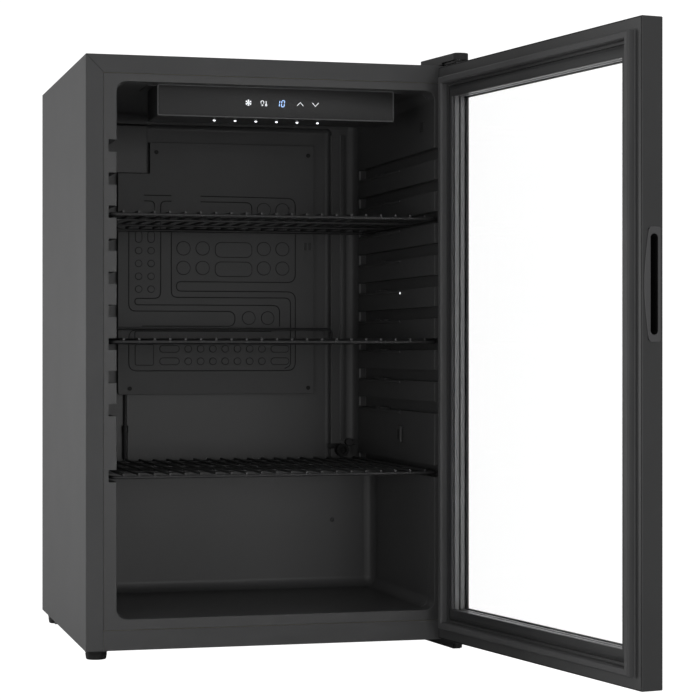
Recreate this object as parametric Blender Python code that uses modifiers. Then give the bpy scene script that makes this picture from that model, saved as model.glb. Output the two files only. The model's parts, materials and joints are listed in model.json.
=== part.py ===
"""Free-standing wine cooler with a glass door: painted steel cabinet, black plastic liner, three wire
shelves, a top control box with a light, a roll-bond evaporator and a compressor behind a step in the floor.

Metres, +Z up. The cabinet's own axes are used while modelling: x = 0 is its middle, y = 0 its front
face, +y goes back, z = 0 is the floor. The last step moves everything so that the origin is under the
middle of the whole object, with its door standing open.
"""

import math

import bmesh
import bpy
from mathutils import Matrix, Vector

# ---- driving dimensions -------------------------------------------------------------------------
GAP = 0.0003  # between pieces that touch
WIDTH, DEPTH = 0.545, 0.513
BASE_Z, TOP_Z = 0.013, 0.838  # the cabinet's lower and upper faces
HALF = WIDTH / 2

SHEET = 0.0008  # painted steel
FLANGE = 0.0246  # the outer wrap's return on the front
STRIP_TOP = 0.0407  # the front strip under the liner

LINER_T = 0.002
CAVITY_HALF = 0.2291
CAVITY_LOW, CAVITY_HIGH = 0.0562, 0.8008
CAVITY_BACK, HUMP_BACK, HUMP_TOP = 0.440, 0.333, 0.240
CAVITY_RADIUS = 0.016
DRAFT = 0.0004  # the lower compartment is this much narrower on each side
RECESS_HALF, RECESS_LOW, RECESS_HIGH, RECESS_BACK = 0.1875, 0.246, 0.788, 0.454

GROOVE_TOP_Z, GROOVE_PITCH = 0.7115, 0.0457
GROOVES = (0, 1, 2, 3, 4, 5, 6, 7, 8, 10)
GROOVE_HEIGHT, GROOVE_DEEP, GROOVE_LENGTH = 0.0172, 0.0117, 0.424

ROOM_FRONT, ROOM_TOP = 0.3703, 0.1990  # the machine room behind the step
PIN_X, PIN_Y, PIN_R = 0.2545, -0.0335, 0.0035
DOOR_OPEN = math.radians(99.8)

DOOR_HIGH, DOOR_LOW = 0.8325, 0.0170
DOOR_INNER, DOOR_OUTER = -0.0110, -0.0410  # y of the closed door's two faces
DOOR_RIGHT, DOOR_LEFT = 0.2720, -0.2720
LIP, HINGE_LIP = 0.046, 0.0405  # from the door's edge to the clear glass, and on the hinge side
GLASS_EDGE = 0.034
PANE, SPACERS = 0.0025, {"outer": 0.0065, "middle": 0.0070}

SHELF_HALF, SHELF_FRONT, SHELF_BACK = 0.2373, 0.010, 0.418
SHELF_WIRE, SHELF_RAIL = 0.0034, 0.0048
SHELF_WIRES, SHELF_WIRE_PITCH = 21, 0.0218
SHELF_LEVELS = {"upper": 0.6178, "middle": 0.4402, "lower": 0.2518}
FENCE_HEIGHT, FENCE_HALF = 0.0245, 0.185

SIDES = 24

# ---- scene set-up -------------------------------------------------------------------------------
for old in list(bpy.data.objects):
    bpy.data.objects.remove(old)


def new_collection(name):
    made = bpy.data.collections.new(name)
    bpy.context.scene.collection.children.link(made)
    return made


PARTS = new_collection("wine_cooler")
CUTTERS = new_collection("cutters")


def material(name, colour, roughness, metallic=0.0, alpha=1.0):
    made = bpy.data.materials.new(name)
    made.use_nodes = True
    shader = made.node_tree.nodes["Principled BSDF"]
    shader.inputs["Base Color"].default_value = (*colour, 1.0)
    shader.inputs["Roughness"].default_value = roughness
    shader.inputs["Metallic"].default_value = metallic
    shader.inputs["Alpha"].default_value = alpha
    return made


PAINT = material("charcoal_paint", (0.055, 0.056, 0.058), 0.55, 0.2)
LINER = material("liner_plastic", (0.022, 0.022, 0.023), 0.45)
FOAM = material("pu_foam", (0.62, 0.55, 0.36), 0.95)
ZINC = material("zinc_steel", (0.55, 0.56, 0.57), 0.4, 1.0)
BLACK_STEEL = material("black_steel", (0.012, 0.012, 0.012), 0.45, 0.4)
BLACK_PLASTIC = material("black_plastic", (0.015, 0.015, 0.016), 0.4)
GLOSS = material("gloss_fascia", (0.01, 0.01, 0.011), 0.12)
RUBBER = material("rubber", (0.012, 0.012, 0.012), 0.85)
GLASS = material("clear_glass", (0.9, 0.94, 0.93), 0.02, alpha=0.15)
ALUMINIUM = material("spacer_aluminium", (0.72, 0.73, 0.74), 0.3, 1.0)
COPPER = material("copper", (0.72, 0.36, 0.22), 0.3, 1.0)
SHELF_COAT = material("shelf_coat", (0.02, 0.02, 0.021), 0.35)
HANDLE_GREY = material("handle_grey", (0.16, 0.16, 0.165), 0.4)
LED = material("led_lens", (0.95, 0.97, 1.0), 0.2)
BOARD = material("circuit_board", (0.02, 0.12, 0.05), 0.5)


# ---- shapes -------------------------------------------------------------------------------------
def keep(name, bm, finish=None):
    """Makes an object of a bmesh: a part if it has a finish, else a cutter."""
    mesh = bpy.data.meshes.new(name)
    bm.to_mesh(mesh)
    bm.free()
    obj = bpy.data.objects.new(name, mesh)
    return place(obj, finish)


def place(obj, finish):
    if finish is None:
        CUTTERS.objects.link(obj)
        obj.hide_render = True
        obj.display_type = "WIRE"
        return obj
    PARTS.objects.link(obj)
    obj.data.materials.append(finish)
    if obj.type == "MESH":
        obj.data.shade_smooth()
        obj.data.set_sharp_from_angle(angle=math.radians(35))
    return obj


def add_box(bm, low, high):
    low, high = Vector(low), Vector(high)
    size = high - low
    placed = Matrix.Translation((low + high) / 2) @ Matrix.Diagonal((*size, 1.0))
    return bmesh.ops.create_cube(bm, size=1.0, matrix=placed)["verts"]


def box(name, low, high, finish=None, radius=0.0, segments=2):
    """A box between two corners, with every edge rounded."""
    bm = bmesh.new()
    add_box(bm, low, high)
    if radius:
        bmesh.ops.bevel(bm, geom=bm.edges[:], offset=radius, segments=segments, profile=0.5,
                        affect="EDGES", clamp_overlap=True)
    return keep(name, bm, finish)


def boxes(name, corners, finish=None):
    """Several boxes that stay apart, as one object."""
    bm = bmesh.new()
    for low, high in corners:
        add_box(bm, low, high)
    return keep(name, bm, finish)


TURN = {"x": Matrix.Rotation(math.pi / 2, 4, "Y"), "y": Matrix.Rotation(math.pi / 2, 4, "X"),
        "z": Matrix.Identity(4)}


def add_rod(bm, centre, radius, length, axis="z", sides=SIDES, end_radius=None):
    placed = Matrix.Translation(centre) @ TURN[axis]
    bmesh.ops.create_cone(bm, cap_ends=True, segments=sides, radius1=radius, depth=length,
                          radius2=radius if end_radius is None else end_radius, matrix=placed)


def rod(name, centre, radius, length, finish=None, axis="z", sides=SIDES, end_radius=None):
    bm = bmesh.new()
    add_rod(bm, centre, radius, length, axis, sides, end_radius)
    return keep(name, bm, finish)


def rods(name, centres, radius, length, axis="z", sides=SIDES):
    """Several cutting rods that stay apart, as one cutter."""
    bm = bmesh.new()
    for centre in centres:
        add_rod(bm, centre, radius, length, axis, sides)
    return keep(name, bm)


def combine(obj, operation, *others):
    for other in others:
        step = obj.modifiers.new(f"{operation.lower()}_{other.name}", "BOOLEAN")
        step.operation = operation
        step.object = other
        step.solver = "EXACT"
    return obj


def cut(obj, *others):
    return combine(obj, "DIFFERENCE", *others)


def join(obj, *others):
    return combine(obj, "UNION", *others)


def ring(name, low, high, width, finish=None, radius=0.0):
    """A rectangular frame in the XZ plane: the box from low to high with its middle cut out."""
    made = box(name, low, high, finish, radius)
    inside_low = (low[0] + width, low[1] - 0.01, low[2] + width)
    inside_high = (high[0] - width, high[1] + 0.01, high[2] - width)
    return cut(made, box(f"{name}_inside", inside_low, inside_high))


def outline(name, points, low_z, high_z, finish=None):
    """A flat outline of (x, y) points, extruded between two heights and made a mesh."""
    curve = bpy.data.curves.new(name, "CURVE")
    curve.dimensions = "2D"
    curve.fill_mode = "BOTH"
    curve.extrude = (high_z - low_z) / 2
    spline = curve.splines.new("POLY")
    spline.points.add(len(points) - 1)
    for point, (x, y) in zip(spline.points, points):
        point.co = (x, y, 0.0, 1.0)
    spline.use_cyclic_u = True
    return meshed(name, curve, Matrix.Translation((0, 0, (low_z + high_z) / 2)), finish)


def tube(name, points, radius, finish=None, resolution=2):
    """A round pipe along points."""
    curve = bpy.data.curves.new(name, "CURVE")
    curve.dimensions = "3D"
    curve.bevel_depth = radius
    curve.bevel_resolution = resolution
    curve.use_fill_caps = True
    spline = curve.splines.new("POLY")
    spline.points.add(len(points) - 1)
    for point, place_at in zip(spline.points, points):
        point.co = (*place_at, 1.0)
    return meshed(name, curve, Matrix.Identity(4), finish)


def meshed(name, curve, placed, finish):
    """The curve as a closed mesh with its caps welded."""
    drawn = bpy.data.objects.new(f"{name}_curve", curve)
    CUTTERS.objects.link(drawn)
    bpy.context.view_layer.update()
    mesh = bpy.data.meshes.new_from_object(drawn.evaluated_get(bpy.context.evaluated_depsgraph_get()))
    bpy.data.objects.remove(drawn)
    bm = bmesh.new()
    bm.from_mesh(mesh)
    bmesh.ops.remove_doubles(bm, verts=bm.verts[:], dist=0.00001)
    bmesh.ops.recalc_face_normals(bm, faces=bm.faces[:])
    bmesh.ops.transform(bm, matrix=placed, verts=bm.verts[:])
    return keep(name, bm, finish)


def turned(name, profile, centre, finish):
    """A solid of revolution about +Z through centre. The profile runs down from the top of the axis."""
    mesh = bpy.data.meshes.new(name)
    edges = [(i, i + 1) for i in range(len(profile) - 1)]
    mesh.from_pydata([(r, 0.0, z) for r, z in profile], edges, [])
    obj = bpy.data.objects.new(name, mesh)
    obj.location = centre
    PARTS.objects.link(obj)
    mesh.materials.append(finish)
    screw = obj.modifiers.new("turn", "SCREW")
    screw.steps = screw.render_steps = SIDES
    screw.use_merge_vertices = True
    screw.merge_threshold = 0.00005
    return obj


def arc(centre, radius, start, end, steps):
    """Points on an arc, angles in degrees."""
    angles = [math.radians(start + (end - start) * i / steps) for i in range(steps + 1)]
    return [(centre[0] + radius * math.cos(a), centre[1] + radius * math.sin(a)) for a in angles]


def groove_z(index):
    return GROOVE_TOP_Z - GROOVE_PITCH * index


# ---- cabinet shell ------------------------------------------------------------------------------
INSIDE = HALF - SHEET - GAP  # half the width of what lies between the wrap's sides
HINGE_SCREWS = [(0.2420, 0.052), (0.2590, 0.052)]
BOTTOM_SCREWS = [(0.2230, 0.045), (0.2230, 0.070)]
FOOT_AT = {"front_left": (-0.2549, 0.0225), "front_right": (0.2480, 0.1180),
           "rear_left": (-0.2560, 0.4420), "rear_right": (0.2560, 0.4420)}


def at_height(points, z):
    return [(x, y, z) for x, y in points]


def feet_at(z, *names):
    return at_height([FOOT_AT[name] for name in names], z)


def outer_wrap():
    wrap = box("outer_wrap", (-HALF, 0, BASE_Z - 0.05), (HALF, DEPTH + 0.05, TOP_Z), PAINT, 0.0015)
    foot_end = box("wrap_foot_end", (-0.4, -0.1, -0.1), (0.4, 0.7, BASE_Z))
    back_end = box("wrap_back_end", (-0.4, DEPTH - 0.001, -0.2), (0.4, 0.8, 0.9))
    hollow = box("wrap_hollow", (-HALF + SHEET, SHEET, -0.1), (HALF - SHEET, DEPTH + 0.1, TOP_Z - SHEET))
    mouth = box("wrap_mouth", (-HALF + FLANGE, -0.1, -0.1), (HALF - FLANGE, 0.1, TOP_Z - FLANGE - 0.0008))
    screws = rods("wrap_screw_holes", at_height(HINGE_SCREWS, TOP_Z), 0.0026, 0.01, sides=12)
    return cut(wrap, hollow, mouth, foot_end, back_end, screws)


def liner_solid(name, grow):
    """The space inside the liner, grown by grow on every side but the front, as one cutting solid."""
    radius = CAVITY_RADIUS + grow
    half, ahead = CAVITY_HALF + grow, -0.05
    upper = box(name, (-half, ahead, HUMP_TOP - grow), (half, CAVITY_BACK + grow, CAVITY_HIGH + grow),
                radius=radius, segments=4)
    lower = box(f"{name}_lower", (-half + DRAFT, ahead - 0.01, CAVITY_LOW - grow),
                (half - DRAFT, HUMP_BACK + grow, 0.300), radius=radius, segments=4)
    recess = box(f"{name}_recess", (-RECESS_HALF - grow, 0.38, RECESS_LOW - grow),
                 (RECESS_HALF + grow, RECESS_BACK + grow, RECESS_HIGH + grow),
                 radius=0.008 + grow, segments=2)
    tall, length = GROOVE_HEIGHT / 2 + grow, GROOVE_LENGTH + grow
    deep, start = CAVITY_HALF + GROOVE_DEEP + grow, CAVITY_HALF - 0.01
    pockets = []
    for index in GROOVES:
        low, high = groove_z(index) - tall, groove_z(index) + tall
        pockets.append(((-deep, ahead + 0.01, low), (-start, length, high)))
        pockets.append(((start, ahead + 0.01, low), (deep, length, high)))
    return join(upper, lower, recess, boxes(f"{name}_grooves", pockets))


def inner_liner():
    liner = box("inner_liner", (-HALF + FLANGE + GAP, 0, STRIP_TOP + GAP),
                (HALF - FLANGE - GAP, LINER_T, TOP_Z - FLANGE - 0.0008 - GAP), LINER)
    skin = liner_solid("liner_skin", LINER_T)
    cut(skin, box("liner_front", (-0.4, -0.2, -0.1), (0.4, 0.0, 1.0)))
    join(liner, skin)
    holes = rods("liner_holes", [(DRAIN_X, DRAIN_Y, HUMP_TOP)], 0.0063, 0.02, sides=16)
    return cut(liner, liner_solid("liner_space", 0.0), holes)


def insulation_foam():
    foam = box("insulation_foam", (-INSIDE, LINER_T + GAP, BASE_Z + 0.0014),
               (INSIDE, DEPTH - 0.0015, TOP_Z - SHEET - GAP), FOAM)
    room = box("foam_room", (-0.4, ROOM_FRONT - GAP, -0.1), (0.4, 0.7, ROOM_TOP + GAP))
    drain = rods("foam_drain", [(DRAIN_X, DRAIN_Y, 0.22)], 0.0068, 0.1, sides=16)
    coil = box("foam_coil", (-0.3, COIL_Y[0] - 0.012, COIL_Z[0] - 0.012),
               (-HALF + SHEET + 0.0062, COIL_Y[1] + 0.012, COIL_Z[1] + 0.012))
    top_screws = rods("foam_top_screws", at_height(HINGE_SCREWS, TOP_Z), 0.0030, 0.03, sides=12)
    low_screws = rods("foam_low_screws", at_height(BOTTOM_SCREWS, BASE_Z), 0.0030, 0.03, sides=12)
    studs = rods("foam_studs", feet_at(BASE_Z, "front_left", "front_right"), 0.0060, 0.05, sides=12)
    space = liner_solid("foam_space", LINER_T + GAP)
    return cut(foam, space, room, drain, coil, top_screws, low_screws, studs)


def base_sheets():
    """The strip under the liner, the floor of the foam, the machine room's wall and roof, and the back."""
    strip_end = HALF - FLANGE - GAP
    box("front_strip", (-strip_end, 0, BASE_Z), (strip_end, 0.0010, STRIP_TOP), PAINT)
    plate = box("bottom_plate", (-INSIDE, 0.0014, BASE_Z), (INSIDE, 0.3696, BASE_Z + 0.0010), ZINC)
    cut(plate, rods("plate_screws", at_height(BOTTOM_SCREWS, BASE_Z), 0.0026, 0.02, sides=12),
        rods("plate_studs", feet_at(BASE_Z, "front_left", "front_right"), 0.0044, 0.02, sides=16))
    wall = box("machine_room_panel", (-INSIDE, ROOM_FRONT, BASE_Z),
               (INSIDE, ROOM_FRONT + 0.001, ROOM_TOP), ZINC)
    join(wall, box("room_roof", (-INSIDE, ROOM_FRONT, ROOM_TOP - 0.001), (INSIDE, DEPTH - 0.0015, ROOM_TOP)))
    cut(wall, rods("roof_drain", [(DRAIN_X, DRAIN_Y, ROOM_TOP)], 0.0066, 0.02, sides=16))
    box("back_panel", (-INSIDE, DEPTH - 0.0012, ROOM_TOP - 0.001),
        (INSIDE, DEPTH, TOP_Z - SHEET - GAP), ZINC)


def compressor_base():
    """The tray under the compressor, with an upright lip behind and two hooks in front that hang lower."""
    low, high = ROOM_FRONT + 0.0014, DEPTH - 0.0015
    base = box("compressor_base", (-INSIDE, low, BASE_Z), (INSIDE, high, BASE_Z + 0.002), ZINC)
    hooks = [((x - 0.006, low, 0.0060), (x + 0.006, low + 0.003, BASE_Z + 0.001)) for x in (-0.2635, 0.2635)]
    join(base, box("base_lip", (-INSIDE, high - 0.002, BASE_Z), (INSIDE, high, BASE_Z + 0.022)),
         boxes("base_hooks", hooks))
    studs = rods("base_studs", feet_at(BASE_Z, "rear_left", "rear_right"), 0.0044, 0.02, sides=16)
    cord = rods("base_cord", [(GLAND_X, high, BASE_Z + 0.012)], 0.0068, 0.02, "y", 16)
    return cut(base, studs, cord)


# ---- machine room -------------------------------------------------------------------------------
COMPRESSOR_AT = (0.120, 0.4405, 0.0)
COMPRESSOR_LOW, COMPRESSOR_HIGH, COMPRESSOR_R = 0.0235, 0.1440, 0.0600
DRAIN_X, DRAIN_Y = 0.2000, 0.4050
GLAND_X = -0.200
COIL_Y, COIL_Z = (0.050, 0.460), (0.240, 0.780)


def compressor():
    low, high, r = COMPRESSOR_LOW, COMPRESSOR_HIGH, COMPRESSOR_R
    seam = (low + high) / 2
    dome = [(0.0, high)] + [(x, z) for x, z in reversed(arc((r - 0.035, high - 0.030), 0.030, 0, 90, 4))]
    dome += [(r - 0.005, seam + 0.004), (r, seam + 0.004), (r, seam - 0.004), (r - 0.005, seam - 0.004),
             (r - 0.005, low + 0.014), (r - 0.018, low + 0.001), (0.0, low)]
    body = turned("compressor", dome, COMPRESSOR_AT, BLACK_STEEL)
    x, y, _ = COMPRESSOR_AT
    foot = box("compressor_foot", (x - 0.075, y - 0.040, low - 0.002), (x + 0.075, y + 0.040, low + 0.0015))
    return join(body, foot)


def machine_room():
    x, y, _ = COMPRESSOR_AT
    compressor()
    for side, shift in (("left", -0.066), ("right", 0.066)):
        box(f"compressor_mount_{side}", (x + shift - 0.008, y - 0.038, BASE_Z + 0.002 + GAP),
            (x + shift + 0.008, y + 0.038, COMPRESSOR_LOW - 0.002 - GAP), RUBBER, 0.001)
    side = x - COMPRESSOR_R
    box("relay_cover", (side - 0.034, y - 0.022, 0.058), (side - GAP * 2, y + 0.022, 0.104),
        BLACK_PLASTIC, 0.003)
    tray = box("drain_tray", (x - 0.050, y - 0.050, 0.1480), (x + 0.098, y + 0.050, 0.1680),
               BLACK_PLASTIC, 0.003)
    cut(tray, box("tray_hollow", (x - 0.048, y - 0.048, 0.1500), (x + 0.096, y + 0.048, 0.2000)))
    tube_low = 0.180
    drain = rod("drain_tube", (DRAIN_X, DRAIN_Y, (tube_low + HUMP_TOP) / 2), 0.0048,
                HUMP_TOP - tube_low + 0.004, RUBBER, sides=16)
    join(drain, rod("tube_flare", (DRAIN_X, DRAIN_Y, 0.2360), 0.0058, 0.0120, sides=16),
         rod("tube_rim", (DRAIN_X, DRAIN_Y, HUMP_TOP + GAP + 0.0015), 0.0110, 0.0030, sides=20))
    cut(drain, rod("tube_bore", (DRAIN_X, DRAIN_Y, 0.210), 0.0034, 0.100, sides=16))
    suction = [(x - 0.068, y + 0.030, 0.118), (x - 0.075, y + 0.030, 0.1400),
               (x - 0.115, y + 0.020, 0.165), (x - 0.120, y, 0.1935)]
    tube("suction_pipe", smooth(suction), 0.0035, COPPER)
    discharge = [(x - 0.068, y - 0.030, 0.112), (x - 0.115, y - 0.034, 0.120), (x - 0.180, y - 0.030, 0.150),
                 (x - 0.280, y - 0.020, 0.170), (x - 0.355, y, 0.1935)]
    tube("discharge_pipe", smooth(discharge), 0.0025, COPPER)
    drier = rod("filter_drier", (-0.040, 0.4750, 0.090), 0.0095, 0.070, COPPER, "z", 16)
    join(drier, rod("drier_top", (-0.040, 0.4750, 0.136), 0.0030, 0.030, sides=12),
         rod("drier_foot", (-0.040, 0.4750, 0.045), 0.0030, 0.024, sides=12))
    box("electrical_box", (-0.245, 0.385, 0.0160), (-0.110, 0.480, 0.0960), BLACK_PLASTIC, 0.004)
    z = BASE_Z + 0.012
    gland = rod("cord_gland", (GLAND_X, DEPTH - 0.0025, z), 0.0064, 0.012, RUBBER, "y", 16)
    join(gland, rod("gland_head", (GLAND_X, DEPTH + 0.0018, z), 0.0092, 0.0060, axis="y", sides=16))
    cut(gland, rod("gland_bore", (GLAND_X, DEPTH, z), 0.0036, 0.060, axis="y", sides=16))


def smooth(points, steps=3):
    """Catmull-Rom points through the given ones."""
    route = [Vector(p) for p in points]
    route = [route[0] * 2 - route[1]] + route + [route[-1] * 2 - route[-2]]
    made = []
    for i in range(1, len(route) - 2):
        a, b, c, d = route[i - 1:i + 3]
        for step in range(steps):
            t = step / steps
            curved = (2 * a - 5 * b + 4 * c - d) * t ** 2 + (3 * b - a - 3 * c + d) * t ** 3
            made.append(0.5 * (2 * b + (c - a) * t + curved))
    return made + [route[-2]]


def condenser_coil():
    """A serpentine pipe that lies between the foam and the left side sheet."""
    x, turns = -HALF + SHEET + 0.0031, 7
    low, high = COIL_Z
    step = (COIL_Y[1] - COIL_Y[0]) / (turns - 1)
    points = []
    for i in range(turns):
        y = COIL_Y[0] + i * step
        start, end = (low, high) if i % 2 == 0 else (high, low)
        inset = 0.02 if i % 2 == 0 else -0.02
        points += [(x, y, start + inset), (x, y, end - inset)]
        if i < turns - 1:
            points += [(x, y + step / 2, end)]
    return tube("condenser_coil", points, 0.0024, COPPER, 1)


# ---- inside the cabinet -------------------------------------------------------------------------
PLATE_FRONT, PLATE_T = 0.4404, 0.0016
PLATE_LEFT, PLATE_RIGHT, PLATE_LOW, PLATE_HIGH = -0.1615, 0.1575, 0.3580, 0.7595
NOTCH_X, NOTCH_Z = -0.1104, 0.7094
EVAPORATOR_SCREWS = [(-0.1003, 0.7437), (0.1480, 0.7438), (-0.1429, 0.3676), (0.1480, 0.3677)]
SENSOR_X, SENSOR_Y = -0.1487, 0.4480


def evaporator():
    plate = box("evaporator_plate", (PLATE_LEFT, PLATE_FRONT, PLATE_LOW),
                (PLATE_RIGHT, PLATE_FRONT + PLATE_T, PLATE_HIGH), ALUMINIUM)
    holes = [(x, PLATE_FRONT, z) for x, z in EVAPORATOR_SCREWS]
    cut(plate, box("plate_notch", (PLATE_LEFT - 0.01, 0.4, NOTCH_Z), (NOTCH_X, 0.5, PLATE_HIGH + 0.01)),
        rods("plate_holes", holes, 0.0024, 0.02, "y", 12))
    for number, (x, _, z) in enumerate(holes, 1):
        screw = rod(f"evaporator_screw_{number}", (x, PLATE_FRONT - GAP - 0.0007, z), 0.0034, 0.0014,
                    BLACK_PLASTIC, "y", 16)
        shank_middle = (x, PLATE_FRONT + 0.0010, z)
        join(screw, rod(f"screw_shank_{number}", shank_middle, 0.0020, 0.0050, axis="y", sides=12),
             rod(f"screw_spacer_{number}", (x, 0.4480, z), 0.0028, 0.0110, axis="y", sides=12))
    cover = box("evaporator_tube_cover", (-0.1845, 0.4396, NOTCH_Z + 0.0006), (-0.1152, 0.4455, 0.7850),
                LINER, 0.0008)
    pegs = [((x - 0.006, 0.4440, 0.7420), (x + 0.006, RECESS_BACK - GAP, 0.7540)) for x in (-0.166, -0.134)]
    join(cover, boxes("cover_pegs", pegs))


def sensor_and_grommet():
    sensor = rod("evaporator_sensor", (SENSOR_X, SENSOR_Y, 0.3280), 0.0024, 0.1440, BLACK_PLASTIC, sides=12)
    join(sensor, rod("sensor_bulb", (SENSOR_X, SENSOR_Y, 0.2755), 0.0040, 0.0430, sides=12),
         rod("sensor_collar", (SENSOR_X, SENSOR_Y, 0.3030), 0.0048, 0.0120, sides=12))
    x, z = 0.2020, 0.2670
    grommet = rod("pipe_grommet", (x, CAVITY_BACK - GAP - 0.0090, z), 0.0100, 0.0180, RUBBER, "y", 20)
    cut(grommet, rod("grommet_bore", (x, CAVITY_BACK - 0.02, z), 0.0060, 0.0180, axis="y", sides=16))


def sensor_cover():
    y, z, tall, wide = 0.184, 0.3013, 0.0130, 0.0062
    cover = box("room_sensor_cover", (CAVITY_HALF - 0.0040, y - wide, z - tall),
                (CAVITY_HALF - GAP, y + wide, z + tall), BLACK_PLASTIC, 0.0015)
    slot = box("sensor_slot", (0.2, y - 0.0018, z - 0.0080), (CAVITY_HALF - 0.0020, y + 0.0018, z + 0.0080))
    return cut(cover, slot)


BOX_LEFT, BOX_RIGHT, BOX_FRONT, BOX_BACK = -0.1690, 0.1745, 0.0220, 0.1050
BOX_LOW, BOX_HIGH, BOX_WALL = 0.7570, 0.8002, 0.002
FASCIA_LOW, FASCIA_HIGH, SEAT_DEPTH = 0.7594, 0.7993, 0.0010
LED_PITCH, LED_MIDDLE, LED_Y = 0.0303, -0.0048, 0.0610


def control_box():
    housing = box("control_housing", (BOX_LEFT, BOX_FRONT, BOX_LOW), (BOX_RIGHT, BOX_BACK, BOX_HIGH),
                  BLACK_PLASTIC, 0.0008)
    join(housing, box("housing_flange", (BOX_LEFT - 0.012, BOX_FRONT + 0.006, BOX_HIGH - 0.0005),
                      (BOX_RIGHT + 0.012, BOX_BACK, CAVITY_HIGH - GAP)))
    leds = [(LED_MIDDLE + (i - 2.5) * LED_PITCH, LED_Y, BOX_LOW) for i in range(6)]
    left, right = BOX_LEFT + BOX_WALL, BOX_RIGHT - BOX_WALL
    seat_back = BOX_FRONT + SEAT_DEPTH
    cut(housing, box("housing_hollow", (left, BOX_FRONT + BOX_WALL, BOX_LOW + BOX_WALL),
                     (right, BOX_BACK - BOX_WALL, 0.85)),
        rods("led_holes", leds, 0.0026, 0.02, sides=12),
        box("fascia_seat", (left - GAP, -0.1, FASCIA_LOW - GAP),
            (right + GAP, seat_back, FASCIA_HIGH + GAP)))
    box("control_fascia", (left, BOX_FRONT - 0.0006, FASCIA_LOW),
        (right, seat_back - GAP, FASCIA_HIGH), GLOSS)
    strip = box("led_strip", (leds[0][0] - 0.012, LED_Y - 0.006, BOX_LOW + 0.0024),
                (leds[-1][0] + 0.012, LED_Y + 0.006, BOX_LOW + 0.0040), LED)
    domes = [(x, y, BOX_LOW + 0.0012) for x, y, _ in leds]
    join(strip, rods("led_domes", domes, 0.0022, 0.0028, sides=12))
    box("display_board", (-0.060, BOX_FRONT + 0.0045, BOX_LOW + 0.0060),
        (0.085, BOX_FRONT + 0.0085, BOX_HIGH - 0.006), BOARD)


def shelf_mesh(fenced):
    """One wire shelf about its own origin: middle of its width, y of the cabinet, z = 0 in its rails."""
    rail, half_wire = SHELF_RAIL / 2, SHELF_WIRE / 2
    frame = box("shelf_frame", (-SHELF_HALF, SHELF_FRONT, -rail), (SHELF_HALF, SHELF_BACK, rail))
    hole = box("shelf_hole", (-SHELF_HALF + SHELF_RAIL, SHELF_FRONT + SHELF_RAIL, -0.01),
               (SHELF_HALF - SHELF_RAIL, SHELF_BACK - SHELF_RAIL, 0.01))
    end = SHELF_HALF - 0.002
    bars = [((-end, y - 0.0019, -0.0020), (end, y + 0.0019, 0.0021)) for y in (0.146, 0.282)]
    wires = []
    for i in range(SHELF_WIRES):
        x = (i - (SHELF_WIRES - 1) / 2) * SHELF_WIRE_PITCH
        wires.append(((x - half_wire, SHELF_FRONT + 0.001, 0.0016),
                      (x + half_wire, SHELF_BACK - 0.001, 0.0056)))
    cut(frame, hole)
    join(frame, boxes("shelf_bars", bars), boxes("shelf_wires", wires))
    if fenced:
        y = SHELF_BACK - 0.0024
        fence = box("shelf_fence", (-FENCE_HALF, y - 0.002, 0.0),
                    (FENCE_HALF, y + 0.002, FENCE_HEIGHT + 0.002))
        cut(fence, box("fence_hole", (-FENCE_HALF + 0.004, y - 0.01, 0.0045),
                       (FENCE_HALF - 0.004, y + 0.01, FENCE_HEIGHT - 0.002)))
        join(frame, fence)
    bpy.context.view_layer.update()
    shape = frame.evaluated_get(bpy.context.evaluated_depsgraph_get())
    mesh = bpy.data.meshes.new_from_object(shape)
    for name in ("shelf_frame", "shelf_hole", "shelf_bars", "shelf_wires", "shelf_fence", "fence_hole"):
        if name in bpy.data.objects:
            bpy.data.objects.remove(bpy.data.objects[name])
    mesh.materials.clear()
    mesh.materials.append(SHELF_COAT)
    return mesh


def shelves():
    with_fence, plain = shelf_mesh(True), shelf_mesh(False)
    for name, height in SHELF_LEVELS.items():
        shelf = bpy.data.objects.new(f"shelf_{name}", plain if name == "lower" else with_fence)
        shelf.location = (0, 0, height)
        PARTS.objects.link(shelf)


# ---- feet ---------------------------------------------------------------------------------------
FOOT_R, FOOT_TOP_R = 0.0140, 0.0155


def feet():
    for name, (x, y) in FOOT_AT.items():
        top = BASE_Z - GAP
        foot = rod(f"{name}_foot", (x, y, top / 2), FOOT_R, top, RUBBER, sides=20, end_radius=FOOT_TOP_R)
        join(foot, rod(f"{name}_stud", (x, y, top + 0.0070), 0.0040, 0.0180, sides=12))


# ---- hinges -------------------------------------------------------------------------------------
HINGE_T = 0.003
HINGE_LOW = BASE_Z - GAP - HINGE_T
NOSE_X, NOSE_R = 0.2600, 0.0068  # the plate's round nose reaches from the pin to here
COVER_T = 0.0137


def hinge_outline(grow, back, left, right):
    """A plate that narrows from its back edge to a round nose about the hinge pin."""
    reach = NOSE_R + grow
    nose = arc((PIN_X, PIN_Y), reach, 170, 270, 5) + arc((NOSE_X, PIN_Y), reach, 270, 370, 5)
    return nose + [(right + grow, 0.002), (right + grow, back + grow), (left - grow, back + grow)]


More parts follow.
